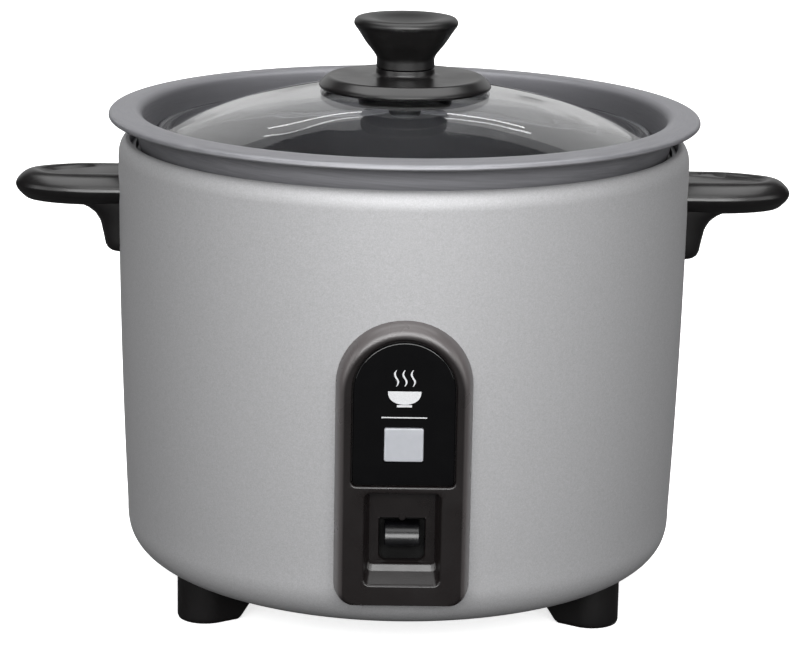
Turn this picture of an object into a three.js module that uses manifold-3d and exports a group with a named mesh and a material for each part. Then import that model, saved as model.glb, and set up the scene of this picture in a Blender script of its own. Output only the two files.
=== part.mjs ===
// Small electric rice cooker: a pressed shell on four feet, a lift-out pan that stands on a heater
// plate with a magnetic thermostat, a glass lid, and a push-down cook lever behind the front panel.
// Millimetres, +Z up. The front faces -Y, and the origin is on the table under the middle.

import * as THREE from "three";
import { mergeVertices } from "three/addons/utils/BufferGeometryUtils.js";
import Module from "manifold-3d";

const wasm = await Module();
wasm.setup();

// ---------------------------------------------------------------- driving dimensions

const gap = 0.3; // clearance between pieces that touch
const sheet = 1; // wall of the pressed-metal parts
const shellSides = 40; // facets round the large shells
const turnedSides = 20; // facets round small turned parts
const pinSides = 8; // facets round pins and screws

// Body shell, as [radius, height] stations
const shell = {
  corner: { radius: 36, height: 26.4, across: 43.6, drop: 17.3, power: 3.5 },
  belly: [81.7, 75],
  shoulder: [81.7, 128.2],
  lip: [79.2, 133.3],
  hem: [78.2, 130.3],
  floorHole: 56,
};
const bodyReach = 84.3; // the panel's face in front and the inlet's face behind

// Inner case that the pan stands in
const innerCase = { mouth: 77.8, top: 131, ledge: 127.5, wall: 73.2, floor: 36.5, floorHole: 20 };

// Pan and lid
const pan = { foot: 52, floorRadius: 56, cornerRadius: 13, wall: 1.3, shoulder: 70.9, seat: 131, collar: 76 };
const flange = { radius: 84.5, edge: 141, crest: 141.9 };
const lid = { radius: 71.8, seat: 131.3, glass: 4, domeRadius: 68, rise: 13.5, hole: 3.5 };
const knob = { baseRadius: 24.6, joint: 153.6, neck: 8.3, topRadius: 14.9, top: 168, boltHole: 2.6 };

// Feet and handles
const foot = { x: 55, y: 35, radius: 8, rib: 14, boltHole: 2.1 };
const grip = { reach: 111.6, bend: 87, halfWidth: 14, bottom: 114.6, top: 123 };
const leg = { bottom: 100.2, outer: 86.2, halfWidth: 11.5 };

// Front panel
const panel = { bottom: 21, top: 95.1, halfWidth: 16.1, baseBottom: 20.6, baseTop: 99.4, baseHalfWidth: 18.3 };
const plate = { bottom: 54.7, top: 93.8, halfWidth: 13.5, thickness: 1 };
const lampWindow = { width: 10.4, height: 9.2, z: 65.9 };
const pocket = {
  halfWidth: 10.4, bottom: 26.6, top: 52.6, wall: 1.2,
  floorHalfWidth: 8.8, floorBottom: 31.4, floorTop: 51.8, floorY: -78.6,
};
const leverWindow = { width: 12.2, bottom: 32.2, top: 44.2 };

// Heater, thermostat and switch
const heater = { top: 51.7, radius: 62, bore: 16.2, coil: 47, coilHeight: 42.6, tube: 3.2 };
const sensor = { radius: 15, skirt: 37.5, ferriteTop: 50.4, ferriteBottom: 47.1 };
const magnet = { radius: 11, bore: 4.5, bottom: 33, top: 39 };
const rod = { radius: 2, collar: 19.7, clip: 14.7, bottom: 13.2 };
const bracket = { z: 27, width: 36, reach: 32 };
const lever = { pivotY: -40, pivotZ: 31, halfWidth: 6, forkTop: 19.4, forkBottom: 17.4 };
const microswitch = { y: -24, bottom: 12.6, top: 18.6, width: 20, depth: 6.4 };
const coverTop = 12.2;

// Mains inlet
const inlet = { z: 31, width: 31, height: 20, tubWidth: 28, tubHeight: 17, wall: 1.6, inner: 66, pinX: 7 };

// ---------------------------------------------------------------- materials

const finish = (color, roughness, metalness = 0) =>
  new THREE.MeshStandardMaterial({ color, roughness, metalness, flatShading: true });

const silverPaint = finish(0xa6a7a9, 0.42, 0.55);
const anodised = finish(0x85858a, 0.45, 0.75);
const phenolic = finish(0x232122, 0.38);
const panelPlastic = finish(0x373233, 0.4);
const glossBlack = finish(0x060607, 0.08);
const lensWhite = finish(0xd8dadd, 0.3);
const bareAluminium = finish(0xb9bbbd, 0.4, 0.9);
const zincSteel = finish(0x9a9da0, 0.4, 0.9);
const brass = finish(0xb8994e, 0.3, 0.9);
const ferriteGrey = finish(0x2c2c30, 0.6);
const ceramicWhite = finish(0xe4e0d6, 0.6);
const wireCover = finish(0xcfd0cc, 0.5);
const clearGlass = new THREE.MeshStandardMaterial({
  color: 0xdfe6e8,
  roughness: 0.05,
  transparent: true,
  opacity: 0.35,
});

// ---------------------------------------------------------------- solids and cuts

function solidOf(geometry) {
  const bare = geometry.clone();
  bare.deleteAttribute("normal");
  bare.deleteAttribute("uv");
  const merged = mergeVertices(bare, 1e-4);
  return new wasm.Manifold(
    new wasm.Mesh({
      numProp: 3,
      vertProperties: merged.attributes.position.array,
      triVerts: new Uint32Array(merged.index.array),
    }),
  );
}

function geometryOf(solid) {
  const mesh = solid.getMesh();
  const geometry = new THREE.BufferGeometry();
  geometry.setAttribute("position", new THREE.BufferAttribute(mesh.vertProperties, 3));
  geometry.setIndex(new THREE.BufferAttribute(mesh.triVerts, 1));
  return geometry;
}

// The first geometry with every other one joined on, and one geometry with others taken out of it.
const join = (first, ...others) =>
  geometryOf(others.reduce((sum, other) => sum.add(solidOf(other)), solidOf(first)));
const cut = (first, ...tools) =>
  geometryOf(tools.reduce((rest, tool) => rest.subtract(solidOf(tool)), solidOf(first)));
const overlap = (first, second) => geometryOf(solidOf(first).intersect(solidOf(second)));

// A profile of [radius, height] pairs turned about +Z.
function turned(profile, sides = turnedSides) {
  const points = profile.map(([r, z]) => new THREE.Vector2(r, z));
  return new THREE.LatheGeometry(points, sides).rotateX(Math.PI / 2);
}

// The same for a profile that closes on itself away from the axis.
const turnedRing = (profile, sides) => turned([...profile, profile[0]], sides);

const cylinder = (radius, bottom, top, sides = pinSides) =>
  turned([[0, bottom], [radius, bottom], [radius, top], [0, top]], sides);

function block(x0, x1, y0, y1, z0, z1) {
  return new THREE.BoxGeometry(x1 - x0, y1 - y0, z1 - z0)
    .translate((x0 + x1) / 2, (y0 + y1) / 2, (z0 + z1) / 2);
}

// A shape drawn in X and Z, seen from the front, that runs from y = back forward to y = front.
function slab(shape, back, front, curveSegments = 8) {
  return new THREE.ExtrudeGeometry(shape, { depth: back - front, bevelEnabled: false, curveSegments })
    .rotateX(Math.PI / 2)
    .translate(0, back, 0);
}

// A side profile drawn as [y, z] pairs, carried from x = -half to x = half.
function across(outline, half) {
  const shape = new THREE.Shape(outline.map(([y, z]) => new THREE.Vector2(y, z)));
  return new THREE.ExtrudeGeometry(shape, { depth: 2 * half, bevelEnabled: false })
    .rotateX(Math.PI / 2)
    .rotateZ(Math.PI / 2)
    .translate(-half, 0, 0);
}

function roundedRect(halfWidth, bottom, top, radius) {
  const shape = new THREE.Shape();
  shape.absarc(halfWidth - radius, bottom + radius, radius, -Math.PI / 2, 0);
  shape.absarc(halfWidth - radius, top - radius, radius, 0, Math.PI / 2);
  shape.absarc(radius - halfWidth, top - radius, radius, Math.PI / 2, Math.PI);
  shape.absarc(radius - halfWidth, bottom + radius, radius, Math.PI, 1.5 * Math.PI);
  return shape;
}

function arch(halfWidth, bottom, top, radius) {
  const shape = new THREE.Shape();
  shape.absarc(halfWidth - radius, bottom + radius, radius, -Math.PI / 2, 0);
  shape.absarc(0, top - halfWidth, halfWidth, 0, Math.PI);
  shape.absarc(radius - halfWidth, bottom + radius, radius, Math.PI, 1.5 * Math.PI);
  return shape;
}

// A round section carried along a smooth curve through the given points.
function tube(points, radius, sides, steps) {
  const section = new THREE.Shape().absarc(0, 0, radius, 0, 2 * Math.PI);
  const extrudePath = new THREE.CatmullRomCurve3(points.map((p) => new THREE.Vector3(...p)));
  return new THREE.ExtrudeGeometry(section, { steps, curveSegments: sides / 2, extrudePath, bevelEnabled: false });
}

function coilSpring(radius, wire, bottom, top, turns) {
  const perTurn = 8;
  const points = [];
  for (let i = 0; i <= turns * perTurn; i++) {
    const angle = (2 * Math.PI * i) / perTurn;
    const height = bottom + wire + ((top - bottom - 2 * wire) * i) / (turns * perTurn);
    points.push([radius * Math.cos(angle), radius * Math.sin(angle), height]);
  }
  return tube(points, wire, 4, turns * perTurn);
}

// ---------------------------------------------------------------- body shell

// The outside of the shell from its bottom edge up to the lip: a soft superellipse corner, a wall
// with a slight belly, and a quarter ellipse that turns in to the lip.
function shellOutline() {
  const { corner, belly, shoulder, lip } = shell;
  const points = [];
  const steps = 5;
  const start = Math.acos(((shell.floorHole - corner.radius) / corner.across) ** (corner.power / 2));
  for (let i = 0; i <= steps; i++) {
    const angle = start * (1 - i / steps);
    points.push([
      corner.radius + corner.across * Math.cos(angle) ** (2 / corner.power),
      corner.height - corner.drop * Math.sin(angle) ** (2 / corner.power),
    ]);
  }
  const [wallStart, bulge, wallEnd] = [points.at(-1), belly, shoulder].map((p) => new THREE.Vector2(...p));
  const wall = new THREE.QuadraticBezierCurve(wallStart, bulge, wallEnd);
  for (const p of wall.getPoints(2).slice(1)) points.push([p.x, p.y]);
  for (let i = 1; i <= 3; i++) {
    const angle = (i / 3) * (Math.PI / 2);
    points.push([
      lip[0] + (shoulder[0] - lip[0]) * Math.cos(angle),
      shoulder[1] + (lip[1] - shoulder[1]) * Math.sin(angle),
    ]);
  }
  return points;
}

// An outline moved sideways along its normals, outward where the distance is positive.
function offsetOutline(points, distance) {
  return points.map(([r, z], i) => {
    const [r0, z0] = points[Math.max(i - 1, 0)];
    const [r1, z1] = points[Math.min(i + 1, points.length - 1)];
    const length = Math.hypot(r1 - r0, z1 - z0);
    return [r + ((z1 - z0) / length) * distance, z - ((r1 - r0) / length) * distance];
  });
}

const outline = shellOutline();

// A solid that fills the shell and stands a gap proud of it, which shapes what is fitted to it.
function shellEnvelope() {
  const grown = offsetOutline(outline, gap);
  return turned([[0, grown[0][1]], ...grown, [0, grown.at(-1)[1]]], shellSides);
}
const envelope = shellEnvelope();

function outerShell() {
  const inside = offsetOutline(outline, -sheet).slice(0, -3).reverse();
  const hem = [[shell.hem[0], shell.lip[1] - 0.7], shell.hem, [79.2, shell.hem[1]]];
  const body = turnedRing([...outline, ...hem, ...inside], shellSides);
  const tubHalf = pocket.halfWidth + pocket.wall + gap;
  const cuts = [
    block(-tubHalf - gap, tubHalf + gap, -90, -60, pocket.bottom - 2, pocket.top + 2),
    block(-8, 8, -90, -60, lampWindow.z - 6.5, lampWindow.z + 6.5),
    block(-14.3, 14.3, 60, 90, inlet.z - 8.8, inlet.z + 8.8),
  ];
  for (const [x, y] of footPlaces()) cuts.push(cylinder(foot.boltHole, 5, 20).translate(x, y, 0));
  for (const z of handleScrewHeights)
    for (const turn of [0, Math.PI]) cuts.push(crossPin(2.1, 70, 90).translate(0, 0, z).rotateZ(turn));
  return cut(body, ...cuts);
}

// The case hangs inside the lip, widens round the pan's collar, and has a flat floor.
function innerCaseBody() {
  const { mouth, top, ledge, wall, floor, floorHole } = innerCase;
  const outside = [
    [floorHole, floor],
    [61.2, floor],
    [68.5, floor + 6],
    [wall - 1.4, floor + 20],
    [wall, ledge - 1.5],
    [mouth, ledge + 1],
    [mouth, top],
  ];
  const inside = offsetOutline(outside, -sheet).reverse();
  const body = turnedRing([...outside, ...inside], shellSides);
  const holes = heaterEnds().map(([x, y]) => cylinder(5, 30, 45).translate(x, y, 0));
  return cut(body, ...holes);
}

function bottomCover() {
  const disc = new THREE.Shape(new THREE.Path().absarc(0, 0, 60, 0, 2 * Math.PI).getPoints(20).slice(1));
  const vents = 8;
  for (let i = 0; i < vents; i++) {
    const angle = ((i + 0.5) / vents) * 2 * Math.PI;
    const along = new THREE.Vector2(Math.cos(angle), Math.sin(angle));
    const slot = new THREE.Path();
    const inner = along.clone().multiplyScalar(30);
    const outer = along.clone().multiplyScalar(44);
    slot.absarc(inner.x, inner.y, 1.6, angle + Math.PI / 2, angle + 1.5 * Math.PI);
    slot.absarc(outer.x, outer.y, 1.6, angle - Math.PI / 2, angle + Math.PI / 2);
    disc.holes.push(slot);
  }
  return new THREE.ExtrudeGeometry(disc, { depth: sheet, bevelEnabled: false, curveSegments: 3 })
    .translate(0, 0, coverTop - sheet);
}

// ---------------------------------------------------------------- feet

function footPlaces() {
  return [[-foot.x, -foot.y], [foot.x, -foot.y], [-foot.x, foot.y], [foot.x, foot.y]];
}

// Round outside, with a rib that leans in towards the middle of the base, and topped by the shell's curve.
function footBody(x, y) {
  const side = across([[-foot.rib, 20], [-foot.rib, 8.4], [-7, 0], [foot.radius, 0], [foot.radius, 20]], foot.radius);
  const plan = new THREE.Shape();
  plan.moveTo(-foot.rib, -foot.radius);
  plan.lineTo(0, -foot.radius);
  plan.absarc(0, 0, foot.radius, -Math.PI / 2, Math.PI / 2);
  plan.lineTo(-foot.rib, foot.radius);
  const post = new THREE.ExtrudeGeometry(plan, { depth: 20, bevelEnabled: false, curveSegments: 8 });
  const angle = Math.atan2(y, x);
  const raw = overlap(side.rotateZ(-Math.PI / 2), post).rotateZ(angle).translate(x, y, 0);
  const bolt = turned([[0, -1], [4, -1], [4, 3], [foot.boltHole, 3], [foot.boltHole, 20], [0, 20]], pinSides);
  return cut(raw, envelope, bolt.translate(x, y, 0)).translate(-x, -y, 0);
}

const footScrew = () => turned([[0, 1], [3.4, 1], [3.4, 2.7], [1.7, 2.7], [1.7, 14.5], [0, 14.5]], pinSides);

// ---------------------------------------------------------------- handles

const handleScrewHeights = [104.6, 111.6];

// A pin along +X from x = inner to x = outer.
const crossPin = (radius, inner, outer) => cylinder(radius, inner, outer).rotateY(Math.PI / 2);

// The right-hand handle: a flat grip with a thumb dish, on a leg that follows the wall.
function handleBody() {
  const plan = new THREE.Shape();
  plan.moveTo(74, -grip.halfWidth);
  plan.lineTo(grip.bend, -grip.halfWidth);
  plan.absellipse(grip.bend, 0, grip.reach - grip.bend, grip.halfWidth, -Math.PI / 2, Math.PI / 2);
  plan.lineTo(74, grip.halfWidth);
  const edge = 4;
  const slabOfGrip = new THREE.ExtrudeGeometry(plan, {
    depth: grip.top - grip.bottom - 2 * edge,
    bevelSize: edge,
    bevelOffset: -edge,
    bevelThickness: edge,
    bevelSegments: 3,
    curveSegments: 14,
  }).translate(0, 0, grip.bottom + edge);
  const dish = new THREE.SphereGeometry(1, 16, 8).scale(12, 10, 2.4).translate(97.5, 0, grip.top + 1);
  const hollow = new THREE.Shape().absellipse(98, 0, 8.4, 8.6, 0, 2 * Math.PI);
  const underside = new THREE.ExtrudeGeometry(hollow, { depth: 4, bevelEnabled: false, curveSegments: 6 })
    .translate(0, 0, grip.bottom - 1.2);
  const profile = new THREE.Shape();
  profile.moveTo(74, grip.top - 0.4);
  profile.lineTo(74, leg.bottom);
  profile.lineTo(83, leg.bottom);
  profile.quadraticCurveTo(leg.outer - 0.3, leg.bottom + 0.6, leg.outer, leg.bottom + 7);
  profile.quadraticCurveTo(leg.outer + 0.6, grip.bottom - 0.6, leg.outer + 7, grip.bottom + 1);
  profile.lineTo(leg.outer + 7, grip.bottom + 2);
  profile.lineTo(82.6, grip.bottom + 2);
  profile.lineTo(82.6, grip.top - 0.4);
  const post = slab(profile, leg.halfWidth, -leg.halfWidth, 5);
  const screws = handleScrewHeights.map((z) => crossPin(1.5, 70, 84.6).translate(0, 0, z));
  return cut(join(slabOfGrip, post), dish, underside, envelope, ...screws);
}

// Its head is inside the shell, and its shank runs out into the handle's leg.
const handleScrew = () =>
  turned([[0, 77], [3.2, 77], [3.2, 79], [1.2, 79], [1.2, 84.2], [0, 84.2]], 8).rotateY(Math.PI / 2);

// ---------------------------------------------------------------- front panel

// The panel's sides lean out from its face down to the shell, most of all over the arch.
function drafted(geometry, frontY) {
  const position = geometry.attributes.position;
  const stretchX = panel.baseHalfWidth / panel.halfWidth;
  const stretchZ = (panel.baseTop - panel.baseBottom) / (panel.top - panel.bottom);
  for (let i = 0; i < position.count; i++) {
    if (position.getY(i) < frontY + 0.01) continue;
    position.setX(i, position.getX(i) * stretchX);
    position.setZ(i, panel.baseBottom + (position.getZ(i) - panel.bottom) * stretchZ);
  }
  return geometry;
}

// The finger pocket narrows from the face to its floor, most of all over the ramp at its lower end.
function pocketHollow() {
  const mouth = slab(roundedRect(pocket.halfWidth, pocket.bottom, pocket.top, 1.6), pocket.floorY, -bodyReach - 1, 3);
  const position = mouth.attributes.position;
  const middle = (pocket.bottom + pocket.top) / 2;
  for (let i = 0; i < position.count; i++) {
    if (position.getY(i) < pocket.floorY - 0.01) continue;
    position.setX(i, position.getX(i) * (pocket.floorHalfWidth / pocket.halfWidth));
    const shift = position.getZ(i) < middle ? pocket.floorBottom - pocket.bottom : pocket.floorTop - pocket.top;
    position.setZ(i, position.getZ(i) + shift);
  }
  return mouth;
}

function frontPanel() {
  const back = -77.4;
  const face = drafted(slab(arch(panel.halfWidth, panel.bottom, panel.top, 3.5), -79, -bodyReach, 8), -bodyReach);
  const tubHalf = pocket.halfWidth + pocket.wall;
  const tub = block(-tubHalf, tubHalf, -83, back, pocket.bottom - pocket.wall, pocket.top + pocket.wall);
  const recess = slab(arch(plate.halfWidth + gap, plate.bottom - gap, plate.top + gap, 1.2), -bodyReach + 1.6, -90, 8);
  const lampHole = block(-5.5, 5.5, -90, -75, lampWindow.z - 4.9, lampWindow.z + 4.9);
  const leverHole = block(-leverWindow.width / 2, leverWindow.width / 2, -90, -70, leverWindow.bottom, leverWindow.top);
  return cut(join(cut(face, envelope), tub), recess, lampHole, pocketHollow(), leverHole);
}

function namePlate() {
  const front = -bodyReach + 0.3;
  const blank = slab(arch(plate.halfWidth, plate.bottom, plate.top, 1), front + plate.thickness, front, 8);
  const hole = slab(
    roundedRect(lampWindow.width / 2 + gap, lampWindow.z - lampWindow.height / 2 - gap,
      lampWindow.z + lampWindow.height / 2 + gap, 0.8),
    -80, -90, 2);
  return cut(blank, hole);
}

const lampLens = () =>
  slab(roundedRect(lampWindow.width / 2, -lampWindow.height / 2, lampWindow.height / 2, 0.6), 2.2, 0, 2);

function lampHolder() {
  const body = block(-9, 9, -4.4, 0, -3.6, 3.6);
  return cut(body, crossPin(2.6, -7, 7).translate(0, -2.6, 0), block(-7, 7, -5, -2.6, -2.6, 2.6));
}

// ---------------------------------------------------------------- mains inlet

const rearRect = (halfWidth, halfHeight, radius) =>
  roundedRect(halfWidth, inlet.z - halfHeight, inlet.z + halfHeight, radius);

function inletHousing() {
  const collar = slab(rearRect(inlet.width / 2, inlet.height / 2, 3), bodyReach, 77, 3);
  const tub = slab(rearRect(inlet.tubWidth / 2, inlet.tubHeight / 2, 2.5), bodyReach - 1, inlet.inner, 3);
  const hollow = rearRect(inlet.tubWidth / 2 - inlet.wall, inlet.tubHeight / 2 - inlet.wall, 1.5);
  const mouth = slab(hollow, 90, inlet.inner + 2, 3);
  const holes = [-1, 1].map((side) =>
    cylinder(2.3, 60, 72).rotateX(-Math.PI / 2).translate(side * inlet.pinX, 0, inlet.z));
  return cut(join(cut(collar, envelope), tub), mouth, ...holes);
}

const inletPin = () =>
  turned([[0, 61], [2, 61], [2, 80], [1.2, 81.5], [0, 81.5]], pinSides).rotateX(-Math.PI / 2);

// ---------------------------------------------------------------- heater

// The two ends of the heating element, behind the middle, where it turns down through the case.
function heaterEnds() {
  return [110, 70].map((degrees) => {
    const angle = (degrees / 180) * Math.PI;
    return [heater.coil * Math.cos(angle), heater.coil * Math.sin(angle)];
  });
}

function heaterPlate() {
  const { top, radius, bore, coil, coilHeight, tube: tubeRadius } = heater;
  const rib = 5.6;
  const under = top - 6.2;
  const disc = turnedRing([
    [bore, under], [coil - rib - 0.5, under], [coil - rib, coilHeight + 0.6],
    [coil + rib, coilHeight + 0.6], [coil + rib + 0.5, under], [radius - 0.5, under],
    [radius, under + 0.5], [radius, top - 0.6], [radius - 0.6, top], [bore, top],
  ], 36);
  const groove = new THREE.TorusGeometry(coil, tubeRadius + 1.4, 8, 36).translate(0, 0, coilHeight);
  return cut(disc, groove);
}

// A tube bent round most of a circle, with both ends turned down.
function heaterElement() {
  const { coil, coilHeight, tube: tubeRadius } = heater;
  const points = [];
  const [first, last] = heaterEnds();
  points.push([...first, coilHeight - 12], [...first, coilHeight - 6]);
  for (let degrees = 116; degrees <= 424; degrees += 22) {
    const angle = (degrees / 180) * Math.PI;
    points.push([coil * Math.cos(angle), coil * Math.sin(angle), coilHeight]);
  }
  points.push([...last, coilHeight - 6], [...last, coilHeight - 12]);
  return tube(points, tubeRadius, 8, 40);
}

const platePost = () => cylinder(3.4, innerCase.floor + sheet + gap, heater.top - 6.2 - gap);

// ---------------------------------------------------------------- thermostat

function sensorCap() {
  const { radius, skirt } = sensor;
  return turned([
    [0, 50.7], [radius - 1.4, 50.7], [radius - 0.8, 50.1], [radius - 0.8, skirt],
    [radius + 2.2, skirt], [radius + 2.2, skirt + 1], [radius, skirt + 1],
    [radius, heater.top - 1], [radius - 1, heater.top], [0, heater.top],
  ]);
}

// A hat-section strip under the case floor that carries the thermostat's spring.
function sensorBracket() {
  const { z, width, reach } = bracket;
  const thick = 1.2;
  const top = innerCase.floor - gap;
  const strip = [
    [-reach, top - thick], [-25, top - thick], [-25, z], [25, z], [25, top - thick], [reach, top - thick],
    [reach, top], [25 - thick, top], [25 - thick, z + thick], [thick - 25, z + thick], [thick - 25, top],
    [-reach, top],
  ];
  return cut(across(strip, width / 2).rotateZ(-Math.PI / 2), cylinder(6.2, 20, 30, turnedSides));
}

const magnetRing = () =>
  turnedRing([
    [magnet.bore, magnet.bottom], [magnet.radius, magnet.bottom], [magnet.radius, magnet.top],
    [magnet.bore, magnet.top],
  ]);

// The cup under the magnet and the rod that the lever lifts by its collar.
function magnetCarrier() {
  const { radius, collar, clip, bottom } = rod;
  const cup = magnet.bottom - gap;
  return turned([
    [0, bottom], [radius, bottom], [radius, clip], [4, clip], [4, clip + 1], [radius, clip + 1],
    [radius, collar], [5, collar], [5, collar + 1.2], [radius, collar + 1.2], [radius, cup - 1.8],
    [magnet.radius + 0.6, cup - 1.8], [magnet.radius + 0.6, cup], [0, cup],
  ], 16);
}

// ---------------------------------------------------------------- cook lever and switch

// The lever's own frame has its pivot at the origin: a hub, a fork behind and an arm in front.
function leverArm() {
  const { pivotY, pivotZ, halfWidth, forkTop, forkBottom } = lever;
  const local = ([y, z]) => [y - pivotY, z - pivotZ];
  const arm = across([
    [-37, 27.9], [-13, forkBottom], [8, forkBottom], [8, forkTop], [-12, forkTop], [-35, 31],
    [-41, 34.2], [-61, 34.4], [-69.6, 38.6], [-71, 42], [-73, 42], [-73, 38], [-64, 32.2], [-42, 28],
  ].map(local), halfWidth);
  const hub = crossPin(3.4, -halfWidth, halfWidth);
  const slot = block(-2.8, 2.8, -8 - pivotY, 10 - pivotY, -20, -5);
  const narrow = [-1, 1].map((side) =>
    block(side > 0 ? 4 : -20, side > 0 ? 20 : -4, -80 - pivotY, -60 - pivotY, -10, 30));
  return cut(join(arm, hub), crossPin(1.85, -10, 10), slot, ...narrow);
}

// The button on the lever's front end, with a sloping face that shows in the window. The curved
// apron behind it turns about the pivot with it, and keeps the window dark at any position.
function leverButton() {
  const { pivotY, pivotZ } = lever;
  const outlinePoints = [
    [-73.3, 36.9], [-78.8, 36.9], [-80.9, 37], [-81.6, 37.9], [-81.3, 39.6], [-80.5, 41.3], [-79.4, 42.4],
    [-78.4, 42.6], [-73.3, 42.6],
  ];
  const button = across(outlinePoints.map(([y, z]) => [y - pivotY, z - pivotZ]), 4.8);
  const heights = [-0.6, 3.5, 7.5, 11, 14, 16.6];
  const arc = (radius) => heights.map((z) => [-Math.sqrt(radius ** 2 - z ** 2), z]);
  const apron = across([...arc(36.7), ...arc(35.7).reverse()], 7.2);
  return join(button, apron);
}

// Two ears on a plate under the case floor, with the lever's pin through them.
function leverBracket() {
  const { pivotY, pivotZ } = lever;
  const top = innerCase.floor - gap;
  const plateTop = block(-7.7, 11.2, pivotY - 5, pivotY + 5, top - 1, top);
  const ears = [-7.7, 10].map((x) => block(x, x + 1.2, pivotY - 4, pivotY + 4, pivotZ - 4.5, top));
  return cut(join(plateTop, ...ears), crossPin(1.8, -20, 20).translate(0, pivotY, pivotZ));
}

const leverPin = () => crossPin(1.4, -9, 12.6);

// A coil round the lever's pin, between the lever and the wider ear.
const leverSpring = () => coilSpring(2.5, 0.4, 6.3, 9.7, 3).rotateY(Math.PI / 2);

function switchBody() {
  const { y, bottom, top, width, depth } = microswitch;
  const body = block(-width / 2, width / 2, y - depth / 2, y + depth / 2, bottom, top);
  return cut(body, cylinder(1.8, top - 3, top + 1).translate(0, y, 0));
}

const switchPlunger = () => cylinder(1.5, microswitch.top - 2.4, 21.1);

function terminalBlock() {
  const base = block(-18, 18, 26, 38, coverTop + gap, 21);
  const channels = [-12, 0, 12].map((x) => block(x - 3.4, x + 3.4, 25, 39, 17, 22));
  return cut(base, ...channels);
}

// ---------------------------------------------------------------- pan and lid

function quarterArc(centerR, centerZ, radius, from, to, steps) {
  const points = [];
  for (let i = 0; i <= steps; i++) {
    const angle = from + ((to - from) * i) / steps;
    points.push([centerR + radius * Math.cos(angle), centerZ + radius * Math.sin(angle)]);
  }
  return points;
}

// Drawn in one piece: a round-cornered cup, a seat for the lid, a collar, and a turned-out flange.
function panBody() {
  const { foot: base, floorRadius, cornerRadius, wall, shoulder, seat, collar } = pan;
  const centre = base + cornerRadius;
  const outside = [
    [0, base],
    ...quarterArc(floorRadius, centre, cornerRadius, -Math.PI / 2, 0, 3),
    [shoulder, seat - wall - 0.4],
    [collar, seat - wall],
    [collar, flange.edge - 2.6],
    [collar + 1.4, flange.crest - wall - 0.2],
    [flange.radius - 2.6, flange.edge - 1.3],
    [flange.radius - 1, flange.edge - 2.1],
  ];
  const inside = [
    [flange.radius, flange.edge - 1.7],
    [flange.radius - 0.3, flange.edge - 0.6],
    [flange.radius - 1.6, flange.edge + 0.3],
    [collar + 1.2, flange.crest],
    [collar - 1, flange.crest - 1],
    [collar - wall, flange.edge - 2.8],
    [collar - wall, seat],
    [shoulder - wall, seat],
    ...quarterArc(floorRadius, centre, cornerRadius - wall, 0, -Math.PI / 2, 3),
    [0, base + wall],
  ];
  return turned([...outside, ...inside], shellSides);
}

// Height of the glass's upper face at a radius, inside its flat rim.
const domeHeight = (r) => lid.seat + lid.glass + lid.rise * (1 - (r / lid.domeRadius) ** 2);

function lidGlass() {
  const stations = [lid.hole, 22, 40, 54, 65];
  const upper = stations.map((r) => [r, domeHeight(r)]);
  const lower = stations.map((r) => [r, domeHeight(r) - lid.glass]).reverse();
  const rim = [
    [lid.domeRadius + 0.6, lid.seat + lid.glass + 0.3],
    [lid.radius - 0.9, lid.seat + lid.glass],
    [lid.radius, lid.seat + 2],
    [lid.radius - 0.9, lid.seat],
    [lid.domeRadius - 0.4, lid.seat],
  ];
  return turnedRing([...lower, ...upper, ...rim].reverse(), shellSides);
}

function knobBase() {
  const { baseRadius, joint, neck, boltHole } = knob;
  return turnedRing([
    [boltHole, 149.2], [21.4, 149.2], [21.4, 147.8], [baseRadius - 1.2, 147.5], [baseRadius - 0.2, 147.8],
    [baseRadius, 148.8], [baseRadius - 1, 150.3], [baseRadius - 2.6, 151.1], [9.6, 151.3], [neck, 151.8],
    [neck, joint - 0.3], [boltHole, joint - 0.3],
  ], 28);
}

// A waisted knob with a dished top.
function lidKnob() {
  const { joint, neck, topRadius, top, boltHole } = knob;
  return turned([
    [0, 162], [boltHole, 162], [boltHole, joint], [neck, joint], [neck, 156.2], [neck + 1.1, 157.9],
    [neck + 3.2, 160.6], [topRadius - 1.5, 164], [topRadius - 0.2, 165.6], [topRadius, 166.6],
    [topRadius - 0.6, 167.6], [topRadius - 2, top], [topRadius - 4.2, top - 0.2], [7, top - 1.4],
    [0, top - 1.9],
  ], 28);
}

const knobWasher = () =>
  turnedRing([[knob.boltHole, 141.2], [12.4, 141.2], [13.2, 142], [13.2, 143.8], [knob.boltHole, 143.8]]);

const knobScrew = () =>
  turned([[0, 138.4], [3.8, 138.4], [4.6, 139.4], [4.6, 140.9], [2.2, 140.9], [2.2, 161], [0, 161]], 16);

// ---------------------------------------------------------------- assembly

const cooker = new THREE.Group();

function add(parent, name, geometry, material, x = 0, y = 0, z = 0, turn = 0) {
  const mesh = new THREE.Mesh(geometry, material);
  mesh.name = name;
  mesh.position.set(x, y, z);
  mesh.rotation.z = turn;
  parent.add(mesh);
  return mesh;
}

const body = new THREE.Group();
cooker.add(body);
add(body, "outer_shell", outerShell(), silverPaint);
add(body, "inner_case", innerCaseBody(), bareAluminium);
add(body, "bottom_cover", bottomCover(), zincSteel);

const corners = ["front_left", "front_right", "rear_left", "rear_right"];
footPlaces().forEach(([x, y], i) => {
  add(body, `foot_${corners[i]}`, footBody(x, y), phenolic, x, y);
  add(body, `foot_screw_${corners[i]}`, footScrew(), zincSteel, x, y);
});

for (const [side, turn] of [["right", 0], ["left", Math.PI]]) {
  const handle = new THREE.Group();
  handle.rotation.z = turn;
  body.add(handle);
  add(handle, `handle_${side}`, handleBody(), phenolic);
  add(handle, `handle_screw_${side}_lower`, handleScrew(), zincSteel, 0, 0, handleScrewHeights[0]);
  add(handle, `handle_screw_${side}_upper`, handleScrew(), zincSteel, 0, 0, handleScrewHeights[1]);
}

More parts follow.
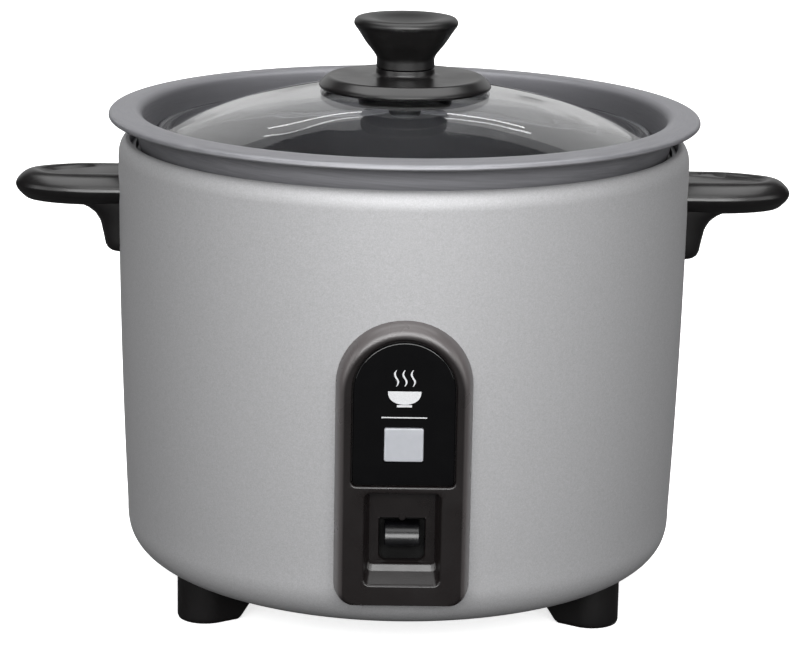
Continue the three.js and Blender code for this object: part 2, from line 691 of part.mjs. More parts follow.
add(body, "front_panel", frontPanel(), panelPlastic);
add(body, "nameplate", namePlate(), glossBlack);
add(body, "lamp_window", lampLens(), lensWhite, 0, -bodyReach + 0.15, lampWindow.z);
add(body, "lamp_holder", lampHolder(), ceramicWhite, 0, -74.4, lampWindow.z);
add(body, "neon_lamp", crossPin(2.2, -6, 6), clearGlass, 0, -77, lampWindow.z);

add(body, "inlet_housing", inletHousing(), phenolic);
add(body, "inlet_pin_left", inletPin(), brass, -inlet.pinX, 0, inlet.z);
add(body, "inlet_pin_right", inletPin(), brass, inlet.pinX, 0, inlet.z);

add(body, "heater_plate", heaterPlate(), bareAluminium);
add(body, "heater_element", heaterElement(), zincSteel);
for (const [i, degrees] of [30, 150, 270].entries()) {
  const angle = (degrees / 180) * Math.PI;
  add(body, `plate_post_${i + 1}`, platePost(), zincSteel, 57.4 * Math.cos(angle), 57.4 * Math.sin(angle));
}

add(body, "sensor_bracket", sensorBracket(), zincSteel);
add(body, "sensor_spring", coilSpring(15.6, 0.8, 28.5, 37.2, 4), zincSteel);
add(body, "lever_bracket", leverBracket(), zincSteel);
add(body, "lever_pin", leverPin(), zincSteel, 0, lever.pivotY, lever.pivotZ);
add(body, "lever_spring", leverSpring(), zincSteel, 0, lever.pivotY, lever.pivotZ);
add(body, "switch_body", switchBody(), glossBlack);
add(body, "terminal_block", terminalBlock(), ceramicWhite);
add(body, "thermal_fuse", cylinder(2.2, -7, 7).rotateX(Math.PI / 2), ceramicWhite, 38, 22, 32.6);

const heaterEnd = heaterEnds();
const wires = {
  wire_live: [[7, 60.6, 31], [7.5, 54, 30], [10, 46, 24], [12, 39, 18.8]],
  wire_neutral: [[-7, 60.6, 31], [-7.5, 54, 30], [-10, 46, 24], [-12, 39, 18.8]],
  wire_fuse_feed: [[12, 25, 19], [18, 16, 20], [32, 4, 25], [38, 8, 31], [38, 14, 32.6]],
  wire_fuse_return: [[38, 30, 32.6], [34, 38, 31], [24, 46, 27], [17, 45, 26], [...heaterEnd[1], 28.6]],
  wire_switch_feed: [[-12, 25, 19], [-20, 12, 18], [-22, -10, 16], [-18, -22, 15], [-11.6, -24, 15]],
  wire_heater_return: [
    [...heaterEnd[0], 28.6], [-11, 36, 28], [8, 30, 28], [26, 27, 26], [46, 14, 22],
    [46, -2, 18], [28, -20, 15], [11.6, -24, 15],
  ],
};
for (const [name, points] of Object.entries(wires))
  add(body, name, tube(points, 1.3, 6, points.length * 2), wireCover);
for (const [name, side] of [["wire_lamp_left", -1], ["wire_lamp_right", 1]]) {
  const route = [
    [9.8, -76.6, 65], [15, -75.6, 62], [22, -73.8, 50], [26, -70, 36], [26, -54, 24], [18, -40, 18],
    [9, -29, 16.5],
  ].map(([x, y, z]) => [side * x, y, z]);
  add(body, name, tube(route, 0.9, 4, 14), wireCover);
}

const sensorGroup = new THREE.Group();
add(sensorGroup, "sensor_cap", sensorCap(), bareAluminium);
add(sensorGroup, "sensor_ferrite", cylinder(13.6, sensor.ferriteBottom, sensor.ferriteTop, turnedSides), ferriteGrey);
const magnetGroup = new THREE.Group();
add(magnetGroup, "magnet", magnetRing(), ferriteGrey);
add(magnetGroup, "magnet_carrier", magnetCarrier(), zincSteel);
const leverGroup = new THREE.Group();
leverGroup.position.set(0, lever.pivotY, lever.pivotZ);
add(leverGroup, "cook_lever", leverArm(), zincSteel);
add(leverGroup, "lever_button", leverButton(), glossBlack);
cooker.add(sensorGroup, magnetGroup, leverGroup);
add(cooker, "switch_plunger", switchPlunger(), lensWhite, 0, microswitch.y, 0);

const panGroup = new THREE.Group();
const lidGroup = new THREE.Group();
panGroup.add(lidGroup);
cooker.add(panGroup);
add(panGroup, "inner_pan", panBody(), anodised);
add(lidGroup, "lid_glass", lidGlass(), clearGlass);
add(lidGroup, "knob_base", knobBase(), phenolic);
add(lidGroup, "lid_knob", lidKnob(), phenolic);
add(lidGroup, "knob_washer", knobWasher(), phenolic);
add(lidGroup, "knob_screw", knobScrew(), zincSteel);

export default cooker;
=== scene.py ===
import bpy, bmesh, math
import numpy as np
from mathutils import Matrix, Vector


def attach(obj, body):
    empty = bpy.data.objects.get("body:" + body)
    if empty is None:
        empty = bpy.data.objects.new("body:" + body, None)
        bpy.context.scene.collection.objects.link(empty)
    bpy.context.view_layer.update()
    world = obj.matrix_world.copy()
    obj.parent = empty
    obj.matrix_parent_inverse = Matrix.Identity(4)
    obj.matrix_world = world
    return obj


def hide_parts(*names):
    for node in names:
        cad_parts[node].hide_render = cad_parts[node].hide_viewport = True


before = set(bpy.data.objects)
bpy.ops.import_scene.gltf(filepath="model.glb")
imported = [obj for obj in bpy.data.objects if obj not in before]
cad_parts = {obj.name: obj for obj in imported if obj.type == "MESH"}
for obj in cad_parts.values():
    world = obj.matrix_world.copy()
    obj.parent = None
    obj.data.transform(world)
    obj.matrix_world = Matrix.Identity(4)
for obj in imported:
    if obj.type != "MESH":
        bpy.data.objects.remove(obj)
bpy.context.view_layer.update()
mm = 0.001
print("frame loaded:", len(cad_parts), "nodes")


def linear(hexColour, alpha=1.0):
    # sRGB hex to linear: (c / 12.92) near black, ((c + 0.055) / 1.055) to the power 2.4 above it
    c = np.array([int(hexColour[i:i + 2], 16) for i in (1, 3, 5)]) / 255
    c = np.where(c <= 0.04045, c / 12.92, ((c + 0.055) / 1.055) ** 2.4)
    return (*c, alpha)


def addNode(material, kind, settings=None, inputs=None):
    # one node with its settings; an input is a value, or another node's output to link from
    made = material.node_tree.nodes.new(kind)
    for key, value in (settings or {}).items():
        setattr(made, key, value)
    for key, value in (inputs or {}).items():
        if isinstance(value, bpy.types.NodeSocket):
            material.node_tree.links.new(value, made.inputs[key])
        else:
            made.inputs[key].default_value = value
    return made


def newMaterial(name, constants, build=None):
    # a Principled surface whose constants sit on its own sockets; build adds the patterns
    material = bpy.data.materials.new(name)
    material.use_nodes = True
    material.node_tree.nodes.clear()
    shader = addNode(material, "ShaderNodeBsdfPrincipled", {}, constants)
    output = addNode(material, "ShaderNodeOutputMaterial")
    material.node_tree.links.new(shader.outputs["BSDF"], output.inputs["Surface"])
    place = addNode(material, "ShaderNodeTexCoord")
    if build:
        build(material, shader, place.outputs["Object"])
    return material


def link(material, output, shader, socket):
    # joins a node's output to one of the shader's sockets
    material.node_tree.links.new(output, shader.inputs[socket])


def perMillimetre(size):
    # a noise's scale for features of that size in mm, on coordinates in metres
    return 1000 / size


def twoTone(material, pattern, low, high, dark, light):
    # colour = dark + (light - dark) * (pattern - low) / (high - low), held between the two
    share = addNode(material, "ShaderNodeMapRange", {}, {"Value": pattern, "From Min": low, "From Max": high})
    return addNode(material, "ShaderNodeMix", {"data_type": "RGBA"}, {
        0: share.outputs["Result"], 6: linear(dark), 7: linear(light)}).outputs[2]


def retint(material, shader, share, colour):
    # colour = what the surface has now + (colour - that) * share
    now = shader.inputs["Base Color"].links[0].from_socket
    link(material, addNode(material, "ShaderNodeMix", {"data_type": "RGBA"}, {
        0: share, 6: now, 7: linear(colour)}).outputs[2], shader, "Base Color")


def finish(material, shader, tone, toneFrom, toneTo, dark, light, gloss, roughLow, roughHigh, relief):
    # colour and relief follow the pattern tone; roughness = roughLow to roughHigh as gloss goes
    # from 0.3 to 0.7
    rough = addNode(material, "ShaderNodeMapRange", {}, {
        "Value": gloss, "From Min": 0.3, "From Max": 0.7, "To Min": roughLow, "To Max": roughHigh})
    bumps = addNode(material, "ShaderNodeBump", {}, {"Height": tone, "Distance": relief * mm, "Strength": 1.0})
    link(material, twoTone(material, tone, toneFrom, toneTo, dark, light), shader, "Base Color")
    link(material, rough.outputs["Result"], shader, "Roughness")
    link(material, bumps.outputs["Normal"], shader, "Normal")


def speckled(dark, light, grain, roughLow, roughHigh, patch, relief):
    # a fine grain in colour and relief, and broad patches in the gloss; grain, patch, relief in mm
    def build(material, shader, place):
        fine = addNode(material, "ShaderNodeTexNoise", {}, {
            "Vector": place, "Scale": perMillimetre(grain), "Detail": 3.0, "Roughness": 0.6}).outputs["Fac"]
        broad = addNode(material, "ShaderNodeTexNoise", {}, {
            "Vector": place, "Scale": perMillimetre(patch)}).outputs["Fac"]
        finish(material, shader, fine, 0.32, 0.68, dark, light, broad, roughLow, roughHigh, relief)
    return build


def turnedMarks(dark, light, pitch, roughLow, roughHigh, relief):
    # rings that a lathe leaves round the Z axis: noise along X, read at x = radius + height, plus a
    # small share of the place itself, so that no ring is quite even; pitch and relief in mm
    def build(material, shader, place):
        flat = addNode(material, "ShaderNodeVectorMath", {"operation": "MULTIPLY"}, {0: place, 1: (1, 1, 0)})
        radius = addNode(material, "ShaderNodeVectorMath", {"operation": "LENGTH"}, {0: flat.outputs[0]})
        height = addNode(material, "ShaderNodeSeparateXYZ", {}, {"Vector": place}).outputs["Z"]
        along = addNode(material, "ShaderNodeMath", {"operation": "ADD"}, {
            0: radius.outputs["Value"], 1: height})
        across = addNode(material, "ShaderNodeCombineXYZ", {}, {"X": along.outputs[0]})
        uneven = addNode(material, "ShaderNodeVectorMath", {"operation": "SCALE"}, {0: place, "Scale": 0.08})
        ringPlace = addNode(material, "ShaderNodeVectorMath", {"operation": "ADD"}, {
            0: uneven.outputs[0], 1: across.outputs[0]})
        rings = addNode(material, "ShaderNodeTexNoise", {}, {
            "Vector": ringPlace.outputs[0], "Scale": perMillimetre(pitch), "Detail": 4.0,
            "Roughness": 0.65}).outputs["Fac"]
        finish(material, shader, rings, 0.35, 0.65, dark, light, rings, roughLow, roughHigh, relief)
    return build


# the panel's flank is painted grey there as a painted reflection of the shell and lamps
flankSheenSizes = {"archCentre": 79.2, "start": 15.7, "end": 17.0}  # where the panel's flank turns grey, in mm


def absBuild(material, shader, place):
    # fine spark-eroded grain; the sloping flank round the arched face is painted a lighter grey, a painted
    # reflection of the silver shell and the lamps: distance = length of (x, height over the arch's centre), and
    # only x below the centre
    f = flankSheenSizes
    speckled("#120f0f", "#191515", 0.35, 0.26, 0.33, 9.0, 0.012)(material, shader, place)
    split = addNode(material, "ShaderNodeSeparateXYZ", {}, {"Vector": place})
    over = addNode(material, "ShaderNodeMath", {"operation": "SUBTRACT"}, {
        0: split.outputs["Z"], 1: f["archCentre"] * mm})
    rise = addNode(material, "ShaderNodeMath", {"operation": "MAXIMUM"}, {0: over.outputs[0], 1: 0.0})
    flat = addNode(material, "ShaderNodeCombineXYZ", {}, {"X": split.outputs["X"], "Z": rise.outputs[0]})
    away = addNode(material, "ShaderNodeVectorMath", {"operation": "LENGTH"}, {0: flat.outputs[0]})
    share = addNode(material, "ShaderNodeMapRange", {}, {
        "Value": away.outputs["Value"], "From Min": f["start"] * mm, "From Max": f["end"] * mm})
    # painted reflection: the flank is tinted towards a lighter grey
    retint(material, shader, share.outputs["Result"], "#565252")


def anodisedBuild(material, shader, place):
    # turning marks all over, and painted shade on the pan's inner wall, whose faces look at the axis: share = 1
    # where the normal points against the radius, 0 where it doesn't
    turnedMarks("#87878b", "#949498", 0.5, 0.46, 0.56, 0.01)(material, shader, place)
    normal = addNode(material, "ShaderNodeNewGeometry").outputs["Normal"]
    flat = addNode(material, "ShaderNodeVectorMath", {"operation": "MULTIPLY"}, {0: place, 1: (1, 1, 0)})
    away = addNode(material, "ShaderNodeVectorMath", {"operation": "NORMALIZE"}, {0: flat.outputs[0]})
    facing = addNode(material, "ShaderNodeVectorMath", {"operation": "DOT_PRODUCT"}, {
        0: normal, 1: away.outputs[0]})
    share = addNode(material, "ShaderNodeMapRange", {}, {
        "Value": facing.outputs["Value"], "From Min": -0.85, "From Max": -0.25, "To Min": 1.0, "To Max": 0.0})
    # painted shade: the inner wall is darkened towards #757579
    retint(material, shader, share.outputs["Result"], "#757579")


def paintBuild(material, shader, place):
    # aluminium flake in a clear binder: sandy grain over a slight orange peel. The flake, finer
    # than 0.1 mm in life, is drawn 0.36 to 0.9 mm wide so that it shows.
    fleck = addNode(material, "ShaderNodeTexNoise", {}, {
        "Vector": place, "Scale": perMillimetre(0.36), "Roughness": 0.7}).outputs["Fac"]
    coarse = addNode(material, "ShaderNodeTexNoise", {}, {
        "Vector": place, "Scale": perMillimetre(0.9)}).outputs["Fac"]
    both = addNode(material, "ShaderNodeMath", {"operation": "MULTIPLY_ADD"}, {0: coarse, 1: 0.3, 2: fleck})
    wave = addNode(material, "ShaderNodeTexNoise", {}, {
        "Vector": place, "Scale": perMillimetre(1.8), "Detail": 1.0}).outputs["Fac"]
    peel = addNode(material, "ShaderNodeBump", {}, {"Height": wave, "Distance": 0.035 * mm, "Strength": 1.0})
    sand = addNode(material, "ShaderNodeBump", {}, {
        "Height": fleck, "Distance": 0.018 * mm, "Strength": 1.0, "Normal": peel.outputs["Normal"]})
    link(material, twoTone(material, both.outputs[0], 0.4, 0.9, "#a9a9aa", "#bcbcbe"), shader, "Base Color")
    link(material, sand.outputs["Normal"], shader, "Normal")


def glassBuild(material, shader, place):
    # pressed glass is never quite flat: a slow wave in its surface, 14 mm from crest to crest
    wave = addNode(material, "ShaderNodeTexNoise", {}, {
        "Vector": place, "Scale": perMillimetre(14.0), "Detail": 0.0}).outputs["Fac"]
    bumps = addNode(material, "ShaderNodeBump", {}, {"Height": wave, "Distance": 0.12 * mm, "Strength": 0.6})
    link(material, bumps.outputs["Normal"], shader, "Normal")


def braidBuild(material, shader, place):
    # the higher of two crossing sets of strands, 0.7 mm apart
    strand = {"Vector": place, "Scale": perMillimetre(0.7) / 6, "Distortion": 1.0}
    first = addNode(material, "ShaderNodeTexWave", {"bands_direction": "DIAGONAL"}, strand)
    second = addNode(material, "ShaderNodeTexWave", {"bands_direction": "X"}, strand)
    cross = addNode(material, "ShaderNodeMath", {"operation": "MAXIMUM"}, {
        0: first.outputs["Fac"], 1: second.outputs["Fac"]})
    bumps = addNode(material, "ShaderNodeBump", {}, {
        "Height": cross.outputs[0], "Distance": 0.12 * mm, "Strength": 1.0})
    link(material, twoTone(material, cross.outputs[0], 0.2, 0.9, "#a7a79f", "#dcdcd4"), shader, "Base Color")
    link(material, bumps.outputs["Normal"], shader, "Normal")


materials = {
    # stoved silver paint on steel: satin, sandy with flake
    "stovedSilverPaint": newMaterial("stovedSilverPaint", {
        "Metallic": 0.55, "Roughness": 0.6, "Coat Weight": 0.1, "Coat Roughness": 0.45}, paintBuild),
    # hard-anodised aluminium, spun: mid grey, faint turning marks, and painted shade on the inner wall
    "anodisedAluminium": newMaterial("anodisedAluminium", {"Metallic": 0.7}, anodisedBuild),
    # phenolic, compression moulded: black, half gloss, faintly uneven
    "mouldedPhenolic": newMaterial("mouldedPhenolic", {"IOR": 1.6}, speckled(
        "#080707", "#0e0c0d", 0.9, 0.28, 0.36, 12.0, 0.008)),
    # the same resin, buffed on the lathe: blacker, smoother
    "polishedPhenolic": newMaterial("polishedPhenolic", {"IOR": 1.6}, speckled(
        "#050404", "#090808", 0.9, 0.36, 0.42, 12.0, 0.004)),
    # ABS, moulded against a fine spark-eroded tool: warm black, satin, with a painted reflection in grey on the
    # panel's flank
    "mouldedAbs": newMaterial("mouldedAbs", {"IOR": 1.54}, absBuild),
    # acrylic plate, printed black on its back: mirror-like gloss
    "backPrintedAcrylic": newMaterial("backPrintedAcrylic", {"IOR": 1.49}, speckled(
        "#020203", "#040405", 6.0, 0.05, 0.09, 20.0, 0.004)),
    # polished black ABS of the push lever
    "polishedAbs": newMaterial("polishedAbs", {"IOR": 1.54}, speckled(
        "#050506", "#0a0a0d", 2.0, 0.21, 0.28, 6.0, 0.006)),
    # the lever's apron: near black, dull and with a low IOR, painted shade for the dark space seen through the
    # lever's window
    "paintedShadeAbs": newMaterial("paintedShadeAbs", {"IOR": 1.3}, speckled(
        "#030303", "#060606", 0.6, 0.7, 0.85, 6.0, 0.01)),
    # opal polycarbonate: milky, a little light passes in
    "opalPolycarbonate": newMaterial("opalPolycarbonate", {
        "IOR": 1.58, "Subsurface Weight": 0.35, "Subsurface Scale": 0.002,
        "Subsurface Radius": (1.0, 1.0, 1.0)},
        speckled("#aaacb1", "#aeb0b5", 3.0, 0.25, 0.27, 5.0, 0.001)),
    # silver ink, screen printed
    "silverInk": newMaterial("silverInk", {"Metallic": 0.2}, speckled(
        "#c9cacc", "#dddee0", 0.25, 0.4, 0.5, 2.0, 0.004)),
    # soda-lime glass, pressed and tempered: clear, faint grey
    "temperedGlass": newMaterial("temperedGlass", {
        "Base Color": linear("#f1f2f3"), "Transmission Weight": 1.0, "Roughness": 0.0,
        "IOR": 1.5}, glassBuild),
    # glass of the neon lamp
    "bulbGlass": newMaterial("bulbGlass", {
        "Base Color": linear("#f2d9c8"), "Transmission Weight": 1.0, "Roughness": 0.03,
        "IOR": 1.5}, glassBuild),
    # die-cast aluminium, turned flat on top
    "castAluminium": newMaterial("castAluminium", {"Metallic": 1.0}, turnedMarks(
        "#a2a2a1", "#c0c0bf", 0.7, 0.3, 0.44, 0.02)),
    # aluminium sheet, spun and left bare
    "spunAluminium": newMaterial("spunAluminium", {"Metallic": 1.0}, turnedMarks(
        "#a9abad", "#bfc1c3", 0.9, 0.28, 0.4, 0.01)),
    # zinc-plated steel: cold grey with faint crystal patches
    "zincPlatedSteel": newMaterial("zincPlatedSteel", {"Metallic": 1.0}, speckled(
        "#94989c", "#b0b3b4", 1.6, 0.28, 0.42, 6.0, 0.008)),
    # hard-drawn spring wire
    "springSteel": newMaterial("springSteel", {"Metallic": 1.0}, speckled(
        "#8a8c90", "#a3a5a9", 0.5, 0.22, 0.3, 3.0, 0.004)),
    # brass bar, turned and nickel flashed
    "turnedBrass": newMaterial("turnedBrass", {"Metallic": 1.0}, speckled(
        "#b79a55", "#c9ae6a", 0.6, 0.2, 0.3, 3.0, 0.005)),
    # sintered ferrite, ground
    "sinteredFerrite": newMaterial("sinteredFerrite", {"Metallic": 0.1}, speckled(
        "#242428", "#34343a", 0.5, 0.5, 0.65, 4.0, 0.02)),
    # steatite, fired and unglazed
    "firedSteatite": newMaterial("firedSteatite", {"IOR": 1.6}, speckled(
        "#ddd8cc", "#ebe7dd", 0.5, 0.55, 0.7, 5.0, 0.02)),
    # glass-fibre braid over the leads
    "glassFibreBraid": newMaterial("glassFibreBraid", {"Roughness": 0.75}, braidBuild),
}
print("materials made:", len(materials))


def softened(corners, steps=7):
    # a polyline of (x, y, reach): each corner is turned into the quadratic curve whose ends lie
    # reach along its two sides and whose control point is the corner; reach 0 keeps it sharp
    p = np.array([c[:2] for c in corners], float)
    out = [p[:1]]
    t = np.linspace(0, 1, steps)[:, None]
    for i in range(1, len(p) - 1):
        reach = corners[i][2] if len(corners[i]) > 2 else 0
        before, after = p[i - 1] - p[i], p[i + 1] - p[i]
        a = p[i] + before / np.linalg.norm(before) * min(reach, 0.49 * np.linalg.norm(before))
        b = p[i] + after / np.linalg.norm(after) * min(reach, 0.49 * np.linalg.norm(after))
        out.append((1 - t) ** 2 * a + 2 * t * (1 - t) * p[i] + t ** 2 * b if reach else p[i:i + 1])
    out.append(p[-1:])
    return np.concatenate(out)


def gridMesh(points, wrapRows=False):
    # points[i, j] is a grid of places in mm, each joined to the next in i and in j; j wraps round,
    # and i wraps too where the profile closes on itself
    rows, cols = points.shape[:2]
    index = np.arange(rows * cols).reshape(rows, cols)
    if wrapRows:
        index = np.vstack([index, index[:1]])
    right = np.roll(index, -1, axis=1)
    quads = np.stack([index[:-1], right[:-1], right[1:], index[1:]], -1).reshape(-1, 4)
    mesh = bpy.data.meshes.new("surface")
    mesh.from_pydata(points.reshape(-1, 3) * mm, [], quads.tolist())
    return mesh


closeness = {"merged": 2e-6, "onPlane": 2e-5, "sliver": 1e-7}  # metres


def closeMesh(meshes, flatY=(), capEnds=False):
    # joins surfaces that share edges, fills the open loops that lie at each y in flatY, caps what
    # is still open, and turns the normals outwards
    made = bmesh.new()
    for mesh in meshes:
        made.from_mesh(mesh)
        bpy.data.meshes.remove(mesh)
    bmesh.ops.remove_doubles(made, verts=made.verts, dist=closeness["merged"])
    for y in flatY:
        loop = [e for e in made.edges if len(e.link_faces) == 1
                and all(abs(v.co.y - y * mm) < closeness["onPlane"] for v in e.verts)]
        bmesh.ops.triangle_fill(made, edges=loop, use_beauty=True, use_dissolve=False)
    if capEnds:
        bmesh.ops.holes_fill(made, edges=[e for e in made.edges if len(e.link_faces) == 1], sides=0)
    bmesh.ops.dissolve_degenerate(made, edges=made.edges, dist=closeness["sliver"])
    bmesh.ops.recalc_face_normals(made, faces=made.faces)
    mesh = bpy.data.meshes.new("surface")
    made.to_mesh(mesh)
    made.free()
    return mesh


def shade(piece, material, sharpAngle, weighted):
    # smooth faces whose edges past sharpAngle degrees stay sharp; weighted normals follow the
    # larger faces, which keeps flat faces flat beside small rounded edges
    mesh = piece.data
    mesh.materials.append(materials[material])
    mesh.polygons.foreach_set("use_smooth", np.ones(len(mesh.polygons), bool))
    mesh.set_sharp_from_angle(angle=math.radians(sharpAngle))
    if weighted:
        piece.modifiers.new("evenNormals", "WEIGHTED_NORMAL").keep_sharp = True


def makePiece(name, mesh, body, material, nodes=(), sharpAngle=32, weighted=False):
    # an object at the origin that takes the place of its CAD nodes and rides on their body
    mesh.name = name
    piece = bpy.data.objects.new(name, mesh)
    bpy.context.collection.objects.link(piece)
    shade(piece, material, sharpAngle, weighted)
    if nodes:
        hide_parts(*nodes)
    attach(piece, body)
    return piece


def revolve(profile, around=192, centre=(0, 0)):
    # (radius, height) carried round a vertical axis: x = r sin a, y = -r cos a, from the centre
    a = np.linspace(0, 2 * np.pi, around, endpoint=False)
    r, z = np.asarray(profile, float).T
    x = r[:, None] * np.sin(a) + centre[0]
    y = -r[:, None] * np.cos(a) + centre[1]
    return gridMesh(np.stack([x, y, z[:, None] + 0 * a], -1), wrapRows=r[0] > 0)


def turnedPiece(name, profile, body, material, nodes=(), around=192, sharpAngle=32):
    # profile starts and ends on the axis, or closes on itself away from it
    return makePiece(name, closeMesh([revolve(profile, around)]), body, material, nodes, sharpAngle)


def outline(halfWidth, bottom, top, lowReach, highReach, side=14, arc=14):
    # a rectangle in x and z with quarter-circle corners of radius lowReach and highReach,
    # anticlockwise from bottom right; highReach equal to halfWidth makes its top an arch
    a = np.linspace(0, np.pi / 2, arc)
    parts = []
    for sx, z, reach, start in [(1, bottom + lowReach, lowReach, -1), (1, top - highReach, highReach, 0),
                                (-1, top - highReach, highReach, 1), (-1, bottom + lowReach, lowReach, 2)]:
        turn = a + start * np.pi / 2
        parts.append(np.stack([sx * (halfWidth - reach) + reach * np.cos(turn),
                               z + reach * np.sin(turn)], -1))
    filled = []
    t = np.linspace(0, 1, side + 2)[1:-1, None]
    for one, after in zip(parts, parts[1:] + parts[:1]):
        filled += [one, one[-1] * (1 - t) + after[0] * t]
    return np.concatenate(filled)


def slabRings(rows, sign=-1):
    # each row is an outline's five sizes and its depth: a number, or a function of (x, z);
    # sign -1 faces the front and +1 the back
    rings = []
    for *sizes, depth in rows:
        flat = outline(*sizes)
        y = depth(flat[:, 0], flat[:, 1]) if callable(depth) else np.full(len(flat), float(depth))
        rings.append(np.stack([-sign * flat[:, 0], sign * y, flat[:, 1]], -1))
    return np.array(rings)


def combine(piece, mesh, operation="UNION"):
    # joins a second closed mesh to the piece, or cuts it out, and keeps the result as its mesh
    other = bpy.data.objects.new("other", mesh)
    bpy.context.collection.objects.link(other)
    change = piece.modifiers.new("change", "BOOLEAN")
    change.operation, change.object, change.solver = operation, other, "EXACT"
    bpy.context.view_layer.update()
    made = bpy.data.meshes.new_from_object(piece.evaluated_get(bpy.context.evaluated_depsgraph_get()))
    piece.modifiers.clear()
    old, piece.data = piece.data, made
    made.name = piece.name
    bpy.data.meshes.remove(old)
    bpy.data.objects.remove(other)
    made.materials.clear()


def finishCut(piece, material, sharpAngle):
    # material and shading of a piece whose mesh was joined or cut
    shade(piece, material, sharpAngle, True)
    print(piece.name, len(piece.data.polygons), "faces after cutting")


def cutterBlock(x0, x1, y0, y1, z0, z1):
    # a unit cube scaled to the block's size and moved to its middle
    made = bmesh.new()
    size = Vector((x1 - x0, y1 - y0, z1 - z0)) * mm
    middle = Vector((x0 + x1, y0 + y1, z0 + z1)) * mm / 2
    bmesh.ops.create_cube(made, size=1.0, matrix=Matrix.Translation(middle) @ Matrix.Diagonal((*size, 1)))
    mesh = bpy.data.meshes.new("cutter")
    made.to_mesh(mesh)
    made.free()
    return mesh


def alongX(profile, half, edge):
    # a closed (y, z) outline carried along x from -half to half; at both ends each point moves
    # towards the outline's middle by up to edge, which rounds the end's rim
    p = np.asarray(profile, float)
    middle = p.mean(axis=0)
    rings = []
    for x, inset in [(-half, edge), (-half + 0.3 * edge, 0.3 * edge), (-half + edge, 0),
                     (half - edge, 0), (half - 0.3 * edge, 0.3 * edge), (half, edge)]:
        away = p - middle
        size = np.linalg.norm(away, axis=1, keepdims=True)
        q = middle + away * (1 - inset / size)
        rings.append(np.column_stack([np.full(len(q), x), q]))
    return closeMesh([gridMesh(np.array(rings))], capEnds=True)


shellSizes = {
    "cornerRadius": 36, "cornerHeight": 26.4, "across": 43.6, "drop": 17.3, "power": 3.5,
    "belly": (81.7, 75), "shoulder": (81.7, 128.2), "lip": (79.2, 133.3), "hem": (78.2, 130.3),
    "floorHole": 56, "sheet": 1.0,
    "openings": {  # boxes cut through the wall: x, y and z from and to
        "lever pocket": (-12.9, 12.9, -90, -60, 24.3, 54.3),
        "lamp": (-8, 8, -90, -60, 59.4, 72.4),
        "inlet": (-14.3, 14.3, 60, 90, 22.2, 39.8),
    },
}


def shellOutline():
    # superellipse corner, a quadratic curve for the wall, a quarter ellipse into the lip
    s = shellSizes
    start = math.acos(((s["floorHole"] - s["cornerRadius"]) / s["across"]) ** (s["power"] / 2))
    a = start * (1 - np.linspace(0, 1, 36) ** 1.3)
    corner = np.stack([s["cornerRadius"] + s["across"] * np.cos(a) ** (2 / s["power"]),
                       s["cornerHeight"] - s["drop"] * np.sin(a) ** (2 / s["power"])], -1)
    t = np.linspace(0, 1, 26)[1:, None]
    belly, shoulder = np.array(s["belly"]), np.array(s["shoulder"])
    wall = (1 - t) ** 2 * corner[-1] + 2 * t * (1 - t) * belly + t ** 2 * shoulder
    b = np.linspace(0, np.pi / 2, 12)[1:]
    rise = np.array(s["lip"]) - shoulder
    lip = np.stack([s["lip"][0] - rise[0] * np.cos(b), s["shoulder"][1] + rise[1] * np.sin(b)], -1)
    return np.concatenate([corner, wall, lip])


shellSkin = shellOutline()
wallPart = shellSkin[20:-4]
floorPart = shellSkin[:34]


def shellRadius(z):
    # the wall's radius at a height, read along its outline
    return np.interp(z, wallPart[:, 1], wallPart[:, 0])


def shellUnderside(radius):
    # the height of the rounded underside at a radius
    return np.interp(radius, floorPart[:, 0], floorPart[:, 1])


def offsetProfile(points, distance):
    # each point moves by distance along its normal, which is the outline's direction turned a
    # quarter to the right
    along = np.gradient(points, axis=0)
    along /= np.linalg.norm(along, axis=1, keepdims=True)
    return points + distance * np.stack([along[:, 1], -along[:, 0]], -1)


def bodyShell():
    # the outline, a curl over the lip, and the same outline one sheet further in
    s = shellSizes
    inside = offsetProfile(shellSkin, -s["sheet"])[:-8][::-1]
    lip, hem = s["lip"], s["hem"]
    curl = softened([(*shellSkin[-1], 0), (78.3, lip[1], 0.6), (*hem, 0.3), (79.4, hem[1], 0.3),
                     (*inside[0], 0)])
    profile = np.concatenate([shellSkin[:-1], curl[:-1], inside])
    shell = makePiece("body_shell", closeMesh([revolve(profile, 256)]), "housing",
                      "stovedSilverPaint", ["outer_shell"])
    for box in s["openings"].values():
        combine(shell, cutterBlock(*box), "DIFFERENCE")
    finishCut(shell, "stovedSilverPaint", 32)


bodyShell()

wellSizes = {
    "sheet": 1.0,
    "corners": [(20, 36.5, 0), (61.2, 36.5, 3), (68.5, 42.5, 6), (71.8, 56.5, 6), (73.2, 126, 1.5),
                (77.8, 128.3, 1), (77.8, 131, 0)],  # radius, height, softening
}
wellSkin = softened(wellSizes["corners"])
wellInside = offsetProfile(wellSkin, -wellSizes["sheet"])[::-1]
turnedPiece("inner_well", np.concatenate([wellSkin, wellInside]), "housing",
            "spunAluminium", ["inner_case"])
print("shell and case made")


heaterSizes = {
    "top": 51.7, "radius": 62, "bore": 16.2, "floor": 45.5, "turnedRings": (54.0, 40.0, 28.0),
    "coil": 47, "rib": 5.6, "ribFloor": 43.2, "groove": 4.2, "grooveTop": 46.6,
}


